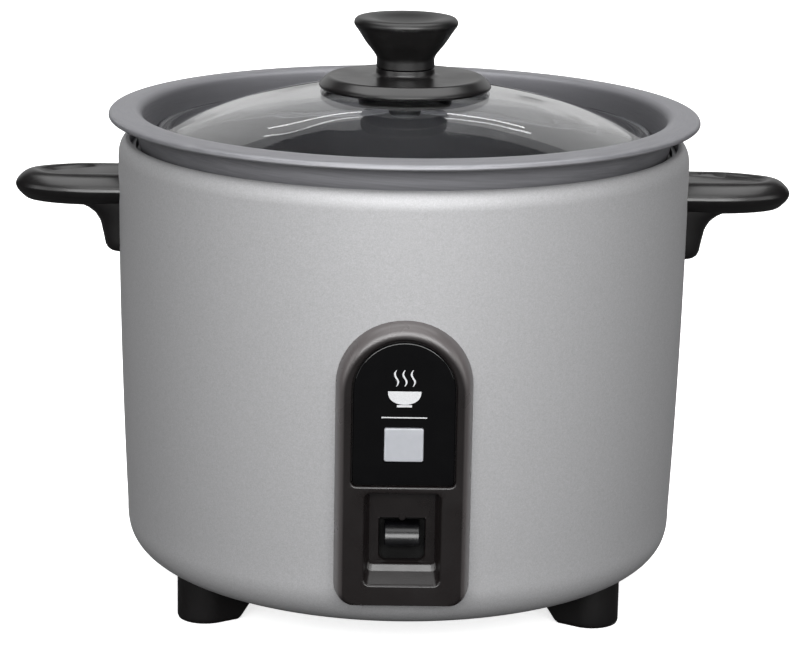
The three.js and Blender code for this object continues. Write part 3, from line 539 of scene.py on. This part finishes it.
def heaterPlate():
    # a cast disc with a rib under it that holds the element, and three shallow turned rings on top
    h = heaterSizes
    top, floor, low, coil, rib = h["top"], h["floor"], h["ribFloor"], h["coil"], h["rib"]
    rings = []
    for r in h["turnedRings"]:
        rings += [(r + 0.6, top, 0.2), (r + 0.25, top - 0.3, 0.1), (r - 0.25, top - 0.3, 0.1),
                  (r - 0.6, top, 0.2)]
    inner, outer = coil - h["groove"], coil + h["groove"]
    corners = [(h["bore"], floor, 0), (coil - rib - 0.5, floor, 0.4), (coil - rib, low, 0.6),
               (inner - 0.2, low, 0.2), (inner, h["grooveTop"], 1.5), (outer, h["grooveTop"], 1.5),
               (outer + 0.2, low, 0.2), (coil + rib, low, 0.6), (coil + rib + 0.5, floor, 0.4),
               (h["radius"], floor, 0.6), (h["radius"], top, 0.9), *rings, (h["bore"], top, 0.5),
               (h["bore"], floor, 0)]
    turnedPiece("heater_disc", softened(corners, 5)[:-1], "housing", "castAluminium",
                ["heater_plate"])


heaterPlate()
capSizes = {"radius": 15, "top": 51.7, "sheet": 1.0, "brim": 17.2, "brimTop": 38.5, "dimple": 5}


def thermostatCap():
    # a drawn cup, open below, with a brim round its foot and a shallow dimple on top
    c = capSizes
    under, low = c["top"] - c["sheet"], c["brimTop"] - c["sheet"]
    profile = softened([
        (0, under, 0), (13.6, under, 0.6), (14.2, low, 0), (c["brim"], low, 0.3),
        (c["brim"], c["brimTop"], 0.3), (c["radius"], c["brimTop"], 0.4), (c["radius"], c["top"], 0.9),
        (c["dimple"] + 0.4, c["top"], 0.4),
        (c["dimple"], c["top"] - 0.3, 0.3), (0, c["top"] - 0.3, 0)])
    turnedPiece("thermostat_cap", profile, "thermostat", "spunAluminium",
                ["sensor_cap"], 96)


thermostatCap()
print("heater and thermostat made")


panSizes = {"foot": 52, "floorRadius": 69, "wall": 1.3, "shoulder": 70.9, "seat": 131, "throat": 74.6,
            "rim": 84.5, "crest": 141.9}


def innerPan():
    # cup, seat for the lid, flared collar and a broad flange with a thin rolled edge
    p = panSizes
    foot, floor, seat, rim, throat = p["foot"], p["foot"] + p["wall"], p["seat"], p["rim"], p["throat"]
    corners = [(0, foot, 0), (p["floorRadius"], foot, 13), (p["shoulder"], 129.2, 1.2), (75.2, 129.6, 1.0),
               (76.2, 133, 2), (77.1, 139.8, 1.3), (82.6, 139.9, 0.7), (83.4, 139.4, 0.4), (84.1, 139.4, 0.3),
               (rim, 139.8, 0.4), (84.2, 140.9, 1.1), (82.4, 141.3, 1.2), (77.4, p["crest"], 2.6),
               (75.0, 140.6, 1.3), (throat, 137.5, 1.5), (throat, seat, 0.8), (69.9, seat, 0.8),
               (p["floorRadius"] - p["wall"], floor, 12), (0, floor, 0)]
    turnedPiece("pan", softened(corners, 12), "pan", "anodisedAluminium",
                ["inner_pan"], 256, 40)


innerPan()

lidSizes = {"radius": 71.8, "seat": 131.3, "glass": 4.0, "dome": 68.0, "rise": 13.5, "hole": 3.4}


def domeHeight(r):
    # height = rim's top + rise * (1 - (radius / dome) squared)
    d = lidSizes
    return d["seat"] + d["glass"] + d["rise"] * (1 - (np.asarray(r) / d["dome"]) ** 2)


def lidGlass():
    # a shallow paraboloid that runs out into a flat rim with a rounded, ground edge
    d = lidSizes
    r = np.linspace(d["hole"], 65.5, 48)
    upper = np.stack([r, domeHeight(r)], -1)
    lower = np.stack([r, domeHeight(r) - d["glass"] + 0.15], -1)
    top, low = d["seat"] + d["glass"], d["seat"]
    edge = d["radius"]
    rim = softened([(*upper[-1], 0), (68.3, top + 0.05, 1.4), (70.6, top + 0.15, 0.8), (edge, top - 0.6, 1.0),
                    (edge, low + 0.6, 0.9), (70.6, low, 0.8), (66.4, low + 0.1, 1.4), (*lower[-1], 0)], 8)
    profile = np.concatenate([upper[:-1], rim, lower[:-1][::-1]])
    turnedPiece("glass_lid", profile, "lid", "temperedGlass", ["lid_glass"], 256, 50)


lidGlass()
lidFittings = {
    # CAD node, slot, material, steps in a soft corner, faces round, and the outline's corners as
    # (radius, height, softening); an outline that starts off the axis closes on itself
    "knob_disc": ("knob_base", "black_phenolic", "mouldedPhenolic", 9, 160, [
        (2.6, 149.2, 0), (21.2, 149.2, 0.6), (21.4, 147.8, 0.3), (22.8, 147.4, 0.5), (24.2, 147.5, 0.6),
        (24.7, 148.3, 0.6), (24.3, 149.0, 0.5), (22.2, 151.1, 0.7), (20.6, 151.05, 0.4), (9.5, 151.25, 0.6),
        (8.4, 151.7, 0.5), (8.3, 153.3, 0.15), (2.6, 153.3, 0), (2.6, 149.2, 0)]),
    "knob": ("lid_knob", "black_phenolic", "polishedPhenolic", 10, 128, [
        (0, 162, 0), (2.6, 162, 0), (2.6, 153.6, 0), (8.3, 153.6, 0.15), (8.2, 156.5, 0.9), (9.3, 158.1, 1.2),
        (11.3, 160.5, 2.4), (13.5, 164.0, 2.2), (14.8, 165.7, 1.0), (14.85, 166.7, 0.6), (14.2, 167.7, 0.8),
        (12.9, 168.0, 1.2), (10.4, 167.8, 1.6), (6.0, 166.5, 2.6), (0, 166.1, 0)]),
    "under_washer": ("knob_washer", "black_phenolic", "mouldedPhenolic", 7, 96, [
        (2.6, 141.2, 0), (12.4, 141.2, 0.4), (13.2, 142, 0.4), (13.2, 143.8, 0.3), (2.6, 143.8, 0),
        (2.6, 141.2, 0)]),
    "lid_screw": ("knob_screw", "zinc_steel", "zincPlatedSteel", 7, 48, [
        (0, 139.3, 0), (1.7, 139.3, 0.2), (1.9, 138.4, 0.2), (3.9, 138.5, 0.5), (4.6, 139.4, 0.4),
        (4.6, 140.9, 0.2), (2.2, 140.9, 0), (2.2, 161, 0), (0, 161, 0)]),
}
for name, (node, slot, material, steps, around, corners) in lidFittings.items():
    profile = softened(corners, steps)
    if corners[0][0] > 0:
        profile = profile[:-1]  # its last point repeats its first
    turnedPiece(name, profile, "lid", material, [node], around)
print("pan and lid made")


handleSizes = {
    "reach": 111.6, "bend": 87, "halfWidth": 14, "top": 123, "root": 74,
    "dish": 95.8, "dishAlong": 11.6, "dishAcross": 8.6, "dishDepth": 2.0,
    "legBottom": 100.4, "legHalf": 11.5, "legRoot": 73,
    # the leg's outer face: height over its bottom, and distance from the axis
    "legRise": [0, 0.25, 0.9, 2.0, 4.6, 8.6, 11.1, 12.8, 14.2, 17.2],
    "legOut": [83.4, 84.3, 85.1, 85.6, 86.1, 87.0, 88.6, 91.0, 94.6, 95.6],
}


def gripRing(inset, z, curve=40):
    # half an ellipse round the free end, then straight back into the body, all moved in by inset
    h = handleSizes
    a = np.linspace(-np.pi / 2, np.pi / 2, curve)
    half = h["halfWidth"] - inset
    length = h["reach"] - h["bend"] - inset
    arc = np.stack([h["bend"] + length * np.cos(a), half * np.sin(a)], -1)
    t = np.linspace(0, 1, 8)[1:, None]
    inner = h["root"] + 0.3 * inset
    sides, last = [arc], arc[-1:]
    for corner in (np.array([[inner, half]]), np.array([[inner, -half]]), arc[:1]):
        sides.append(last * (1 - t) + corner * t)
        last = corner
    flat = np.concatenate(sides)[:-1]
    return np.column_stack([flat, np.full(len(flat), z)])


def shellSolid():
    # what the shell fills between two heights, a little smaller than its skin
    z = np.linspace(92, 131, 28)
    profile = np.column_stack([shellRadius(z) - 0.2, z])
    return closeMesh([revolve([[0, 92], *profile, [0, 131]], 256)])


def handle(name, node, sign):
    # grip and leg joined, then trimmed to the shell
    h = handleSizes
    top = h["top"]
    # (inset, height) from the middle of the top, over the rim, down the side and under
    rim = softened([(8.4, top - 0.6, 0), (5.6, top - 0.05, 1.2), (2.7, top - 0.9, 1.8), (0.5, top - 3.1, 1.4),
                    (0, top - 4.6, 0.4), (0.5, top - 6.1, 0.9), (2.9, top - 8.6, 1.8), (4.4, top - 9.0, 0.3),
                    (5.1, top - 5.6, 0.5), (8.4, top - 5.4, 0)], 8)
    rings = np.array([gripRing(inset, z) for inset, z in rim])
    # thumb dish: depth * (1 - u squared) squared, where u = 1 on an ellipse round the grip's middle
    upper = rings[..., 2] > top - 3
    u = np.hypot((rings[..., 0] - h["dish"]) / h["dishAlong"], rings[..., 1] / h["dishAcross"])
    rings[..., 2] -= np.where(upper, h["dishDepth"] * np.clip(1 - u ** 2, 0, 1) ** 2, 0)
    grip = closeMesh([gridMesh(rings)], capEnds=True)
    piece = makePiece(name, grip, "housing", "mouldedPhenolic", [node])
    # leg: each level is a rounded rectangle, its outer face on the fillet's curve
    low, half, root = h["legBottom"], h["legHalf"], h["legRoot"]
    z = np.concatenate([low + np.array([0, 0.25, 0.9, 2.0]), np.linspace(104, 117.6, 16)])
    out = np.interp(z - low, h["legRise"], h["legOut"])
    wide = np.interp(z - low, [0, 0.25, 0.9, 2.0, 17.2], half - np.array([1.9, 1.1, 0.5, 0.1, 0]))
    a = np.linspace(-np.pi / 2, np.pi / 2, 25)
    x = root + (out[:, None] - root) * np.cos(a) ** 0.35
    y = wide[:, None] * np.sign(np.sin(a)) * np.abs(np.sin(a)) ** 0.55
    levels = np.stack([x, y, z[:, None] + 0 * x], -1)
    combine(piece, closeMesh([gridMesh(levels)], capEnds=True))
    combine(piece, shellSolid(), "DIFFERENCE")
    if sign < 0:  # half a turn about Z, so the faces stay the right way out
        points = np.empty(len(piece.data.vertices) * 3)
        piece.data.vertices.foreach_get("co", points)
        piece.data.vertices.foreach_set("co", (points.reshape(-1, 3) * (-1, -1, 1)).ravel())
    finishCut(piece, "mouldedPhenolic", 40)


handle("grip_right", "handle_right", 1)
handle("grip_left", "handle_left", -1)
print("handles made")


footSizes = {"x": 55, "y": 35, "radius": 8, "ribLow": 7, "ribHigh": 14, "ribTop": 8.4, "corner": 0.8,
             "bore": 4, "boreTop": 3}


def foot(name, node, x, y):
    # round outside and square inside; the inner face leans in, and the top follows the shell
    f = footSizes
    a = np.linspace(-np.pi / 2, np.pi / 2, 33)
    turn = math.atan2(y, x)

    def ring(inset, z, top=False):
        rib = np.interp(z, [0, f["ribTop"]], [f["ribLow"], f["ribHigh"]]) - inset
        r = f["radius"] - inset
        arc = np.stack([r * np.cos(a), r * np.sin(a)], -1)
        t = np.linspace(0, 1, 9)[1:, None]
        c = f["corner"]
        back = np.array([[[c - rib, r]], [[-rib, r - c]], [[-rib, c - r]], [[c - rib, -r]]])
        sides, last = [], arc[-1:]
        for corner in [*back, arc[:1]]:
            sides.append(last * (1 - t) + corner * t)
            last = corner
        flat = np.concatenate([arc] + sides)[:-1]
        gx = x + flat[:, 0] * math.cos(turn) - flat[:, 1] * math.sin(turn)
        gy = y + flat[:, 0] * math.sin(turn) + flat[:, 1] * math.cos(turn)
        level = shellUnderside(np.hypot(gx, gy)) - 0.05 if top else np.full(len(gx), z)
        return np.stack([gx, gy, level], -1)

    rows = [ring(0.9, 0), ring(0.25, 0.2), ring(0, 0.8)] + [ring(0, z) for z in np.linspace(1.5, 8.2, 6)]
    rows += [ring(0, 8.6, top=True)]
    body = closeMesh([gridMesh(np.array(rows))], capEnds=True)
    piece = makePiece(name, body, "housing", "mouldedPhenolic", [node], 40)
    wide, top = f["bore"], f["boreTop"]
    bore = softened([(0, -1, 0), (wide + 0.2, -1, 0), (wide, 0.2, 0.3), (wide, top, 0.2), (0, top, 0)])
    combine(piece, closeMesh([revolve(bore, 48, (x, y))]), "DIFFERENCE")
    finishCut(piece, "mouldedPhenolic", 35)


footPlaces = [(f"{end}_{side}", sx * footSizes["x"], sy * footSizes["y"])
              for side, sx in (("left", -1), ("right", 1)) for end, sy in (("front", -1), ("rear", 1))]
for corner, x, y in footPlaces:
    foot(f"foot_pad_{corner}", f"foot_{corner}", x, y)
print("feet made")


panelSizes = {
    # half width, bottom, top and the radius of the lower corners, where the panel meets the shell
    # and at its face
    "base": (18.3, 20.6, 99.4, 4.5), "top": (16.1, 21.2, 95.3, 3.6), "face": 84.3,
    "plate": (13.5, 54.7, 93.8), "plateFace": 84.0, "plateFloor": 82.8, "plateBack": 82.95,
    "lampHole": (5.5, 61.0, 70.8), "lens": (5.2, 61.3, 70.5), "lensBack": 82.1,
    "window": (6.1, 32.2, 44.2), "pocketFloor": 78.6, "tub": (12.5, 25.4, 53.2), "back": 77.0,
    "sink": 0.3,  # how far it sits into the shell's skin
}


def onShell(sink):
    # distance from the middle plane to the shell: the root of radius squared less x squared
    def depth(x, z):
        return np.sqrt(shellRadius(z) ** 2 - x ** 2) - sink
    return depth


def panelSides():
    # from the shell out to the face: sizes and depth both run from the base's to the face's,
    # the sizes a little ahead so the edge rolls over softly
    p = panelSizes
    face, rows = p["face"], []
    for t in np.linspace(0, 1, 14):
        inset = 0.55 * t + 0.45 * t ** 3.0
        halfWidth, bottom, top, low = [b + (f - b) * inset for b, f in zip(p["base"], p["top"])]
        rise = 1 - (1 - t) ** 1.35

        def depth(x, z, rise=rise):
            base = onShell(panelSizes["sink"])(x, z)
            return base + (face - base) * rise
        rows.append((halfWidth, bottom, top, low, halfWidth, depth))
    halfWidth, bottom, top, low = p["top"]
    rows.append((halfWidth - 0.7, bottom + 0.6, top - 0.7, low - 0.6, halfWidth - 0.7, face))
    return slabRings(rows)


def frontPanel():
    # flank, recess for the plate, finger pocket with the lever's window, and the tub behind it
    p = panelSizes
    face = p["face"]
    hw, bottom, top = p["plate"]
    recess = [(hw + e, bottom - e, top + e, 1.2 + e, hw + e, y) for e, y in [
        (0.95, face), (0.6, face - 0.05), (0.42, face - 0.25), (0.35, face - 0.6), (0.3, p["plateFloor"])]]
    floor, back = p["pocketFloor"], p["back"]
    # the finger pocket's lower wall has two slopes with a bright step between them
    pocket = [(10.75, 26.3, 52.9, 2.3, 2.3, face), (10.45, 26.6, 52.65, 2.0, 2.0, face - 0.1),
              (10.2, 26.9, 52.5, 1.9, 1.9, face - 0.4), (10.05, 27.1, 52.4, 1.8, 1.8, face - 0.9),
              (9.45, 29.5, 52.2, 1.5, 1.5, face - 3.8), (9.35, 29.7, 52.15, 1.4, 1.4, face - 3.93),
              (9.05, 31.2, 51.95, 1.2, 1.2, face - 4.45), (8.95, 31.45, 51.9, 1.1, 1.1, face - 4.65),
              (8.85, 31.7, 51.85, 1.0, 1.0, face - 5.3), (8.8, 31.8, 51.8, 1.0, 1.0, floor)]
    ww, wb, wt = p["window"]
    window = [(ww + 0.5, wb - 0.5, wt + 0.05, 2.4, 0.7, floor),
              (ww + 0.2, wb - 0.2, wt + 0.02, 2.1, 0.5, floor + 0.15),
              (ww, wb, wt, 1.9, 0.4, floor - 0.25), (ww, wb, wt, 1.9, 0.4, back)]
    behind = [(ww, wb, wt, 1.9, 0.4, back), (*p["tub"], 1, 1, back), (*p["tub"], 1, 1, 79.6),
              (*p["base"], p["base"][0], onShell(p["sink"]))]
    mesh = closeMesh([gridMesh(panelSides())] + [gridMesh(slabRings(rows)) for rows in
                                                 (recess, pocket + window, behind)],
                     flatY=[-face, -p["plateFloor"]])
    makePiece("panel", mesh, "housing", "mouldedAbs", ["front_panel"], 60, weighted=True)


def plateAndLamp():
    # a plate with softened edges and a hole, and the lens that fills the hole
    p = panelSizes
    face, back, lensBack = p["plateFace"], p["plateBack"], p["lensBack"]
    hw, bottom, top = p["plate"]
    rows = [(hw, bottom, top, 1.0, hw, back), (hw, bottom, top, 1.0, hw, face - 0.3),
            (hw - 0.12, bottom + 0.12, top - 0.12, 0.9, hw - 0.12, face - 0.12),
            (hw - 0.45, bottom + 0.45, top - 0.45, 0.6, hw - 0.45, face)]
    hole = [(*p["lampHole"], 0.8, 0.8, face), (*p["lampHole"], 0.8, 0.8, back)]
    mesh = closeMesh([gridMesh(slabRings(rows)), gridMesh(slabRings(hole))], flatY=[-face, -back])
    makePiece("name_panel", mesh, "housing", "backPrintedAcrylic", ["nameplate"], 60,
              weighted=True)
    hw, bottom, top = p["lens"]
    lens = [(hw, bottom, top, 0.6, 0.6, lensBack), (hw, bottom, top, 0.6, 0.6, face - 0.1),
            (hw - 0.12, bottom + 0.12, top - 0.12, 0.5, 0.5, face + 0.08),
            (hw - 0.35, bottom + 0.35, top - 0.35, 0.4, 0.4, face + 0.15)]
    mesh = closeMesh([gridMesh(slabRings(lens))], flatY=[-face - 0.15, -lensBack])
    makePiece("lamp_lens", mesh, "housing", "opalPolycarbonate", ["lamp_window"], 60,
              weighted=True)


markSizes = {
    "inkNear": 0.01, "inkFar": 0.06,  # how far the ink stands over the plate
    "bowl": 4.4, "bowlTop": 80.6, "bowlDepth": 3.6,
    "foot": (2.0, 76.9, 76.3), "rule": (-6.0, 73.6, 73.3),  # half width, top, bottom
    "steam": (-2.2, 0.0, 2.2), "steamBottom": 82.0, "steamHeight": 4.4, "sway": 0.45, "steamHalf": 0.28,
}


def flatMark(name, strips):
    # thin printed shapes: each is a closed strip between two edges in x and z
    meshes = []
    for one, other in strips:
        loop = np.concatenate([one, other[::-1]])
        rings = [np.stack([loop[:, 0], np.full(len(loop), -panelSizes["plateFace"] - out), loop[:, 1]], -1)
                 for out in (markSizes["inkNear"], markSizes["inkFar"])]
        meshes.append(closeMesh([gridMesh(np.array(rings))], capEnds=True))
    makePiece(name, closeMesh(meshes), "housing", "silverInk")


def printedMarks():
    # a plain bowl, half an ellipse made a little fuller, on a short foot; three curls of steam, each
    # one turn of a sine and widest in its middle; and a rule under them
    m = markSizes
    t = np.linspace(0, 1, 33)
    a = np.pi * t

    def bar(half, top, low):
        return [np.stack([half - 2 * half * t, np.full(len(t), z)], -1) for z in (top, low)]
    bowlTop = np.stack([m["bowl"] * (1 - 2 * t), np.full(len(t), m["bowlTop"])], -1)
    bowlLow = np.stack([m["bowl"] * np.cos(a), m["bowlTop"] - m["bowlDepth"] * np.sin(a) ** 0.8], -1)
    strips = [(bowlTop, bowlLow), bar(*m["foot"])]
    for x in m["steam"]:
        z = m["steamBottom"] + m["steamHeight"] * t
        middle = x + m["sway"] * np.sin(2 * np.pi * t)
        half = m["steamHalf"] * np.sin(np.pi * (0.12 + 0.76 * t))
        strips.append((np.stack([middle - half, z], -1), np.stack([middle + half, z], -1)))
    strips.append(bar(*m["rule"]))
    flatMark("steaming_bowl_mark", strips)


leverSizes = {
    "halfWidth": 4.75, "edge": 0.4, "back": -73.3, "low": 36.9, "high": 42.6,
    "faceCentre": (-76.07, 37.9), "faceRadius": 5.5, "faceFrom": -2, "faceTo": 46,  # y and z, degrees
    "pivot": (-40, 31), "apronFace": 36.7, "apronBack": 35.7, "apronHalf": 7.2, "apronRise": (-0.6, 16.6),
    "stopHeight": 44.3,
}


def leverButton():
    # a sloping, gently bulged face, which is an arc; the apron behind it is part of a ring round
    # the lever's pivot
    v = leverSizes
    a = np.radians(np.linspace(v["faceFrom"], v["faceTo"], 15))
    (y, z), radius, back, low, high = v["faceCentre"], v["faceRadius"], v["back"], v["low"], v["high"]
    face = np.stack([y - radius * np.cos(a), z + radius * np.sin(a), 0 * a], -1)
    corners = [(back, high, 0), (back, low, 0.3), (-80.4, low, 0.6), (-81.3, low + 0.2, 0.3), *face,
               (-79.3, high - 0.2, 0.3), (-78.4, high, 0.3), (back, high, 0)]
    button = alongX(softened(corners, 5)[:-1], v["halfWidth"], v["edge"])
    makePiece("push_lever", button, "lever", "polishedAbs", ["lever_button"], 50,
              weighted=True)
    y, z = v["pivot"]
    turn = np.arcsin(np.linspace(*v["apronRise"], 24) / 36.2)
    front, back = [np.stack([y - r * np.cos(turn), z + r * np.sin(turn)], -1)
                   for r in (v["apronFace"], v["apronBack"])]
    loop = np.concatenate([front, back[::-1]])
    rings = np.array([np.column_stack([np.full(len(loop), x), loop])
                      for x in (-v["apronHalf"], v["apronHalf"])])
    # the apron's near-black finish is painted shade for the dark inside of the lever's window
    makePiece("lever_apron", closeMesh([gridMesh(rings)], capEnds=True), "lever", "paintedShadeAbs")


def leverStop():
    # a half-round stop that hangs into the top of the lever's window, part of the panel's wall
    a = np.linspace(0, 2 * np.pi, 24, endpoint=False)
    rings = [np.stack([r * np.cos(a), np.full(24, -y), leverSizes["stopHeight"] + r * np.sin(a)], -1)
             for r, y in [(0.95, 77.4), (0.95, 78.65), (0.8, 78.8)]]
    makePiece("lever_stop", closeMesh([gridMesh(np.array(rings))], capEnds=True), "housing",
              "mouldedAbs")


frontPanel()
plateAndLamp()
printedMarks()
leverButton()
leverStop()
print("front panel made")


inletSizes = {"height": 31.0, "reach": 84.3, "floor": 68.0, "back": 66.0, "pinX": 7, "pinRadius": 2,
              "pinFrom": 61, "pinTo": 81.5}


def inletSocket():
    # a collar on the shell's back with a socket in it: each row is half width, half height, corner
    # radius and depth
    n = inletSizes
    reach, floor, back = n["reach"], n["floor"], n["back"]
    onWall = (15.5, 10, 3, onShell(panelSizes["sink"]))
    inside = [onWall, (15.5, 10, 3, 82.6), (15.4, 9.9, 3, 83.8), (15.1, 9.6, 2.8, 84.15),
              (14.6, 9.1, 2.5, reach), (12.9, 7.4, 1.9, reach), (12.5, 7.0, 1.6, reach - 0.25), (12.4, 6.9, 1.5, reach - 0.8),
              (12.2, 6.7, 1.4, floor + 0.2), (12.0, 6.5, 1.2, floor), (0.05, 0.05, 0.02, floor)]
    behind = [(0.05, 0.05, 0.02, back), (14, 8.5, 2.5, back), (14, 8.5, 2.5, 78), onWall]
    mesh = closeMesh([gridMesh(slabRings([
        (halfWidth, n["height"] - half, n["height"] + half, corner, corner, y)
        for halfWidth, half, corner, y in rows], 1)) for rows in (inside, behind)], capEnds=True)
    makePiece("inlet_socket", mesh, "housing", "mouldedPhenolic", ["inlet_housing"], 50,
              weighted=True)


def contactPin(name, pinX):
    # (radius, y) carried round an axis that lies along Y: x = r cos a, z = r sin a
    n = inletSizes
    tip, r = n["pinTo"], n["pinRadius"]
    a = np.linspace(0, 2 * np.pi, 32, endpoint=False)
    profile = softened([(0, n["pinFrom"], 0), (r, n["pinFrom"], 0.2), (r, tip - 1.5, 0.3), (r - 0.6, tip, 0.6),
                        (0, tip, 0)])
    radius, y = profile[:, :1], profile[:, 1:]
    rings = np.stack([radius * np.cos(a) + pinX, y + 0 * a, radius * np.sin(a) + n["height"]], -1)
    makePiece(f"contact_pin_{name}", closeMesh([gridMesh(rings)]), "housing", "turnedBrass",
              [f"inlet_pin_{name}"])


inletSocket()
contactPin("left", -inletSizes["pinX"])
contactPin("right", inletSizes["pinX"])
print("inlet made")


soleScrewSizes = {"head": 3.4, "headTop": 2.7, "shank": 1.7, "shankTop": 14.3, "face": 1.0, "crown": 0.75,
                  "crossHalf": 0.55, "crossReach": 2.0, "crossDepth": 1.0}


def soleScrew(name, node, x, y):
    # a pan head with a cross recess: the head's face is a polar grid, its height = face + crown *
    # (r / head) to the power 4, and deeper where |x| or |y| is small
    c = soleScrewSizes
    a = np.linspace(0, 2 * np.pi, 64, endpoint=False)
    r = np.concatenate([[0], np.linspace(0.15, c["head"], 22)])[:, None]
    u, v = r * np.cos(a), r * np.sin(a)
    arm = np.minimum(np.abs(u), np.abs(v))
    cross = np.clip((c["crossHalf"] - arm) / 0.12, 0, 1) * np.clip((c["crossReach"] - r) / 0.25, 0, 1)
    face = c["face"] + c["crown"] * (r / c["head"]) ** 4 + c["crossDepth"] * cross
    sheet = np.stack([x + u, y + v, face], -1)
    rest = [np.stack([x + q * np.cos(a), y + q * np.sin(a), np.full(64, z)], -1) for q, z in [
        (c["head"], c["headTop"]), (c["shank"], c["headTop"]), (c["shank"], c["shankTop"]), (0, c["shankTop"])]]
    makePiece(name, closeMesh([gridMesh(np.concatenate([sheet, np.array(rest)]))]), "housing",
              "zincPlatedSteel", [node])


for corner, x, y in footPlaces:
    soleScrew(f"sole_screw_{corner}", f"foot_screw_{corner}", x, y)
print("foot screws made")


carriedOver = {
    "zincPlatedSteel": ["bottom_cover", "sensor_bracket", "lever_bracket", "magnet_carrier", "cook_lever",
                        "lever_pin", "plate_post_1", "plate_post_2", "plate_post_3", "heater_element",
                        *[f"handle_screw_{side}_{end}" for side in ("left", "right")
                          for end in ("lower", "upper")]],
    "springSteel": ["sensor_spring", "lever_spring"],
    "sinteredFerrite": ["magnet", "sensor_ferrite"],
    "firedSteatite": ["terminal_block", "thermal_fuse", "lamp_holder"],
    "bulbGlass": ["neon_lamp"],
    "polishedAbs": ["switch_body"],
    "opalPolycarbonate": ["switch_plunger"],
    "glassFibreBraid": [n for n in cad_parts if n.startswith("wire_")],
}
for material, nodes in carriedOver.items():
    for node in nodes:
        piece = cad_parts[node]
        piece.data.materials.clear()
        piece.data.materials.append(materials[material])
print("carried-over nodes painted")


studio = {
    "floor": "#f2f2f2", "floorToObject": "#3c3c3c",  # the floor as seen, and as it lights the object
    "floorGlow": 0.72, "surround": 0.05, "horizon": 1.0,
}
lamps = {
    # place and target in metres, width, depth, watts, and whether glass and metal mirror the lamp
    "overhead": ((0, 0, 1.15), (0, 0, 0.08), 1.7, 0.95, 14, True),
    "strip": ((0, 1.2, 0.86), (0, 0, 0.14), 0.6, 0.014, 0.1, True),  # the thin line in the glass
    "high": ((0, -0.95, 1.25), (0, 0, 0.1), 1.4, 0.45, 5, True),
    "loft": ((0, 0.95, 1.1), (0, 0, 0.12), 1.8, 0.9, 2, False),
    "rearLeft": ((-0.75, 1.5, 0.5), (0, 0, 0.08), 0.8, 0.7, 7, False),
    "rearRight": ((0.75, 1.5, 0.5), (0, 0, 0.08), 0.8, 0.7, 7, False),
    "front": ((0, -1.65, 0.7), (0, 0, 0.08), 2.3, 0.6, 38, True),
    "left": ((-1.35, -0.75, 0.45), (0, 0, 0.09), 0.9, 0.8, 4, True),
    "right": ((1.35, -0.75, 0.45), (0, 0, 0.09), 0.9, 0.8, 4, True),
    "behind": ((0, 1.5, 0.6), (0, 0, 0.12), 2.6, 1.0, 4.5, True),
}
view = {"eye": (-0.0123, -0.7992, 0.2775), "target": (-0.0003, 0, 0.0782), "lean": 0.0173,  # metres, radians
        "focalLength": 127.04, "sensor": 36}  # mm


def paleFloor():
    # white to the eye; its light on the object is held back, so the black pieces stay black
    mesh = bpy.data.meshes.new("floor")
    mesh.from_pydata([(-6, -6, 0), (6, -6, 0), (6, 6, 0), (-6, 6, 0)], [], [(0, 1, 2, 3)])
    floor = bpy.data.objects.new("floor", mesh)
    bpy.context.collection.objects.link(floor)
    paper = newMaterial("mattFloor", {
        "Roughness": 0.95, "Specular IOR Level": 0.2, "Emission Color": (1, 1, 1, 1)})
    shader = paper.node_tree.nodes["Principled BSDF"]
    seen = addNode(paper, "ShaderNodeLightPath").outputs["Is Camera Ray"]
    tone = addNode(paper, "ShaderNodeMix", {"data_type": "RGBA"}, {
        0: seen, 6: linear(studio["floorToObject"]), 7: linear(studio["floor"])})
    glow = addNode(paper, "ShaderNodeMath", {"operation": "MULTIPLY"}, {0: seen, 1: studio["floorGlow"]})
    link(paper, tone.outputs[2], shader, "Base Color")
    link(paper, glow.outputs[0], shader, "Emission Strength")
    mesh.materials.append(paper)


def softLight(name, place, target, width, height, power, mirrored):
    # a rectangular lamp that looks from its place towards its target
    data = bpy.data.lights.new(name, "AREA")
    data.shape, data.size, data.size_y, data.energy = "RECTANGLE", width, height, power
    lamp = bpy.data.objects.new(name, data)
    bpy.context.collection.objects.link(lamp)
    lamp.location, lamp.visible_camera = place, False
    lamp.visible_glossy = lamp.visible_transmission = mirrored
    lamp.rotation_euler = (Vector(target) - Vector(place)).to_track_quat("-Z", "Y").to_euler()


def surround():
    # an even, dim room round the object that looks white behind it
    world = bpy.data.worlds.new("surround")
    bpy.context.scene.world = world
    world.use_nodes = True
    back = world.node_tree.nodes["Background"]
    back.inputs["Color"].default_value = (1, 1, 1, 1)
    seen = addNode(world, "ShaderNodeLightPath").outputs["Is Camera Ray"]
    level = addNode(world, "ShaderNodeMapRange", {}, {
        "Value": seen, "To Min": studio["surround"], "To Max": studio["horizon"]})
    link(world, level.outputs["Result"], back, "Strength")


def takeView():
    # the camera stands 0.8 m in front, a little left of the panel's axis, and leans one degree: its
    # right and up axes are turned by lean round its line of sight
    eye, target, lean = Vector(view["eye"]), Vector(view["target"]), view["lean"]
    ahead = (target - eye).normalized()
    right = ahead.cross(Vector((0, 0, 1))).normalized()
    up = right.cross(ahead)
    x = math.cos(lean) * right + math.sin(lean) * up
    y = -math.sin(lean) * right + math.cos(lean) * up
    data = bpy.data.cameras.new("camera")
    data.lens, data.sensor_width = view["focalLength"], view["sensor"]
    camera = bpy.data.objects.new("camera", data)
    bpy.context.collection.objects.link(camera)
    turn = Matrix((x, y, -ahead)).transposed().to_4x4()
    camera.matrix_world = Matrix.Translation(eye) @ turn
    bpy.context.scene.camera = camera


paleFloor()
surround()
for name, settings in lamps.items():
    softLight(name, *settings)
takeView()
bpy.context.scene.view_settings.view_transform = "Standard"
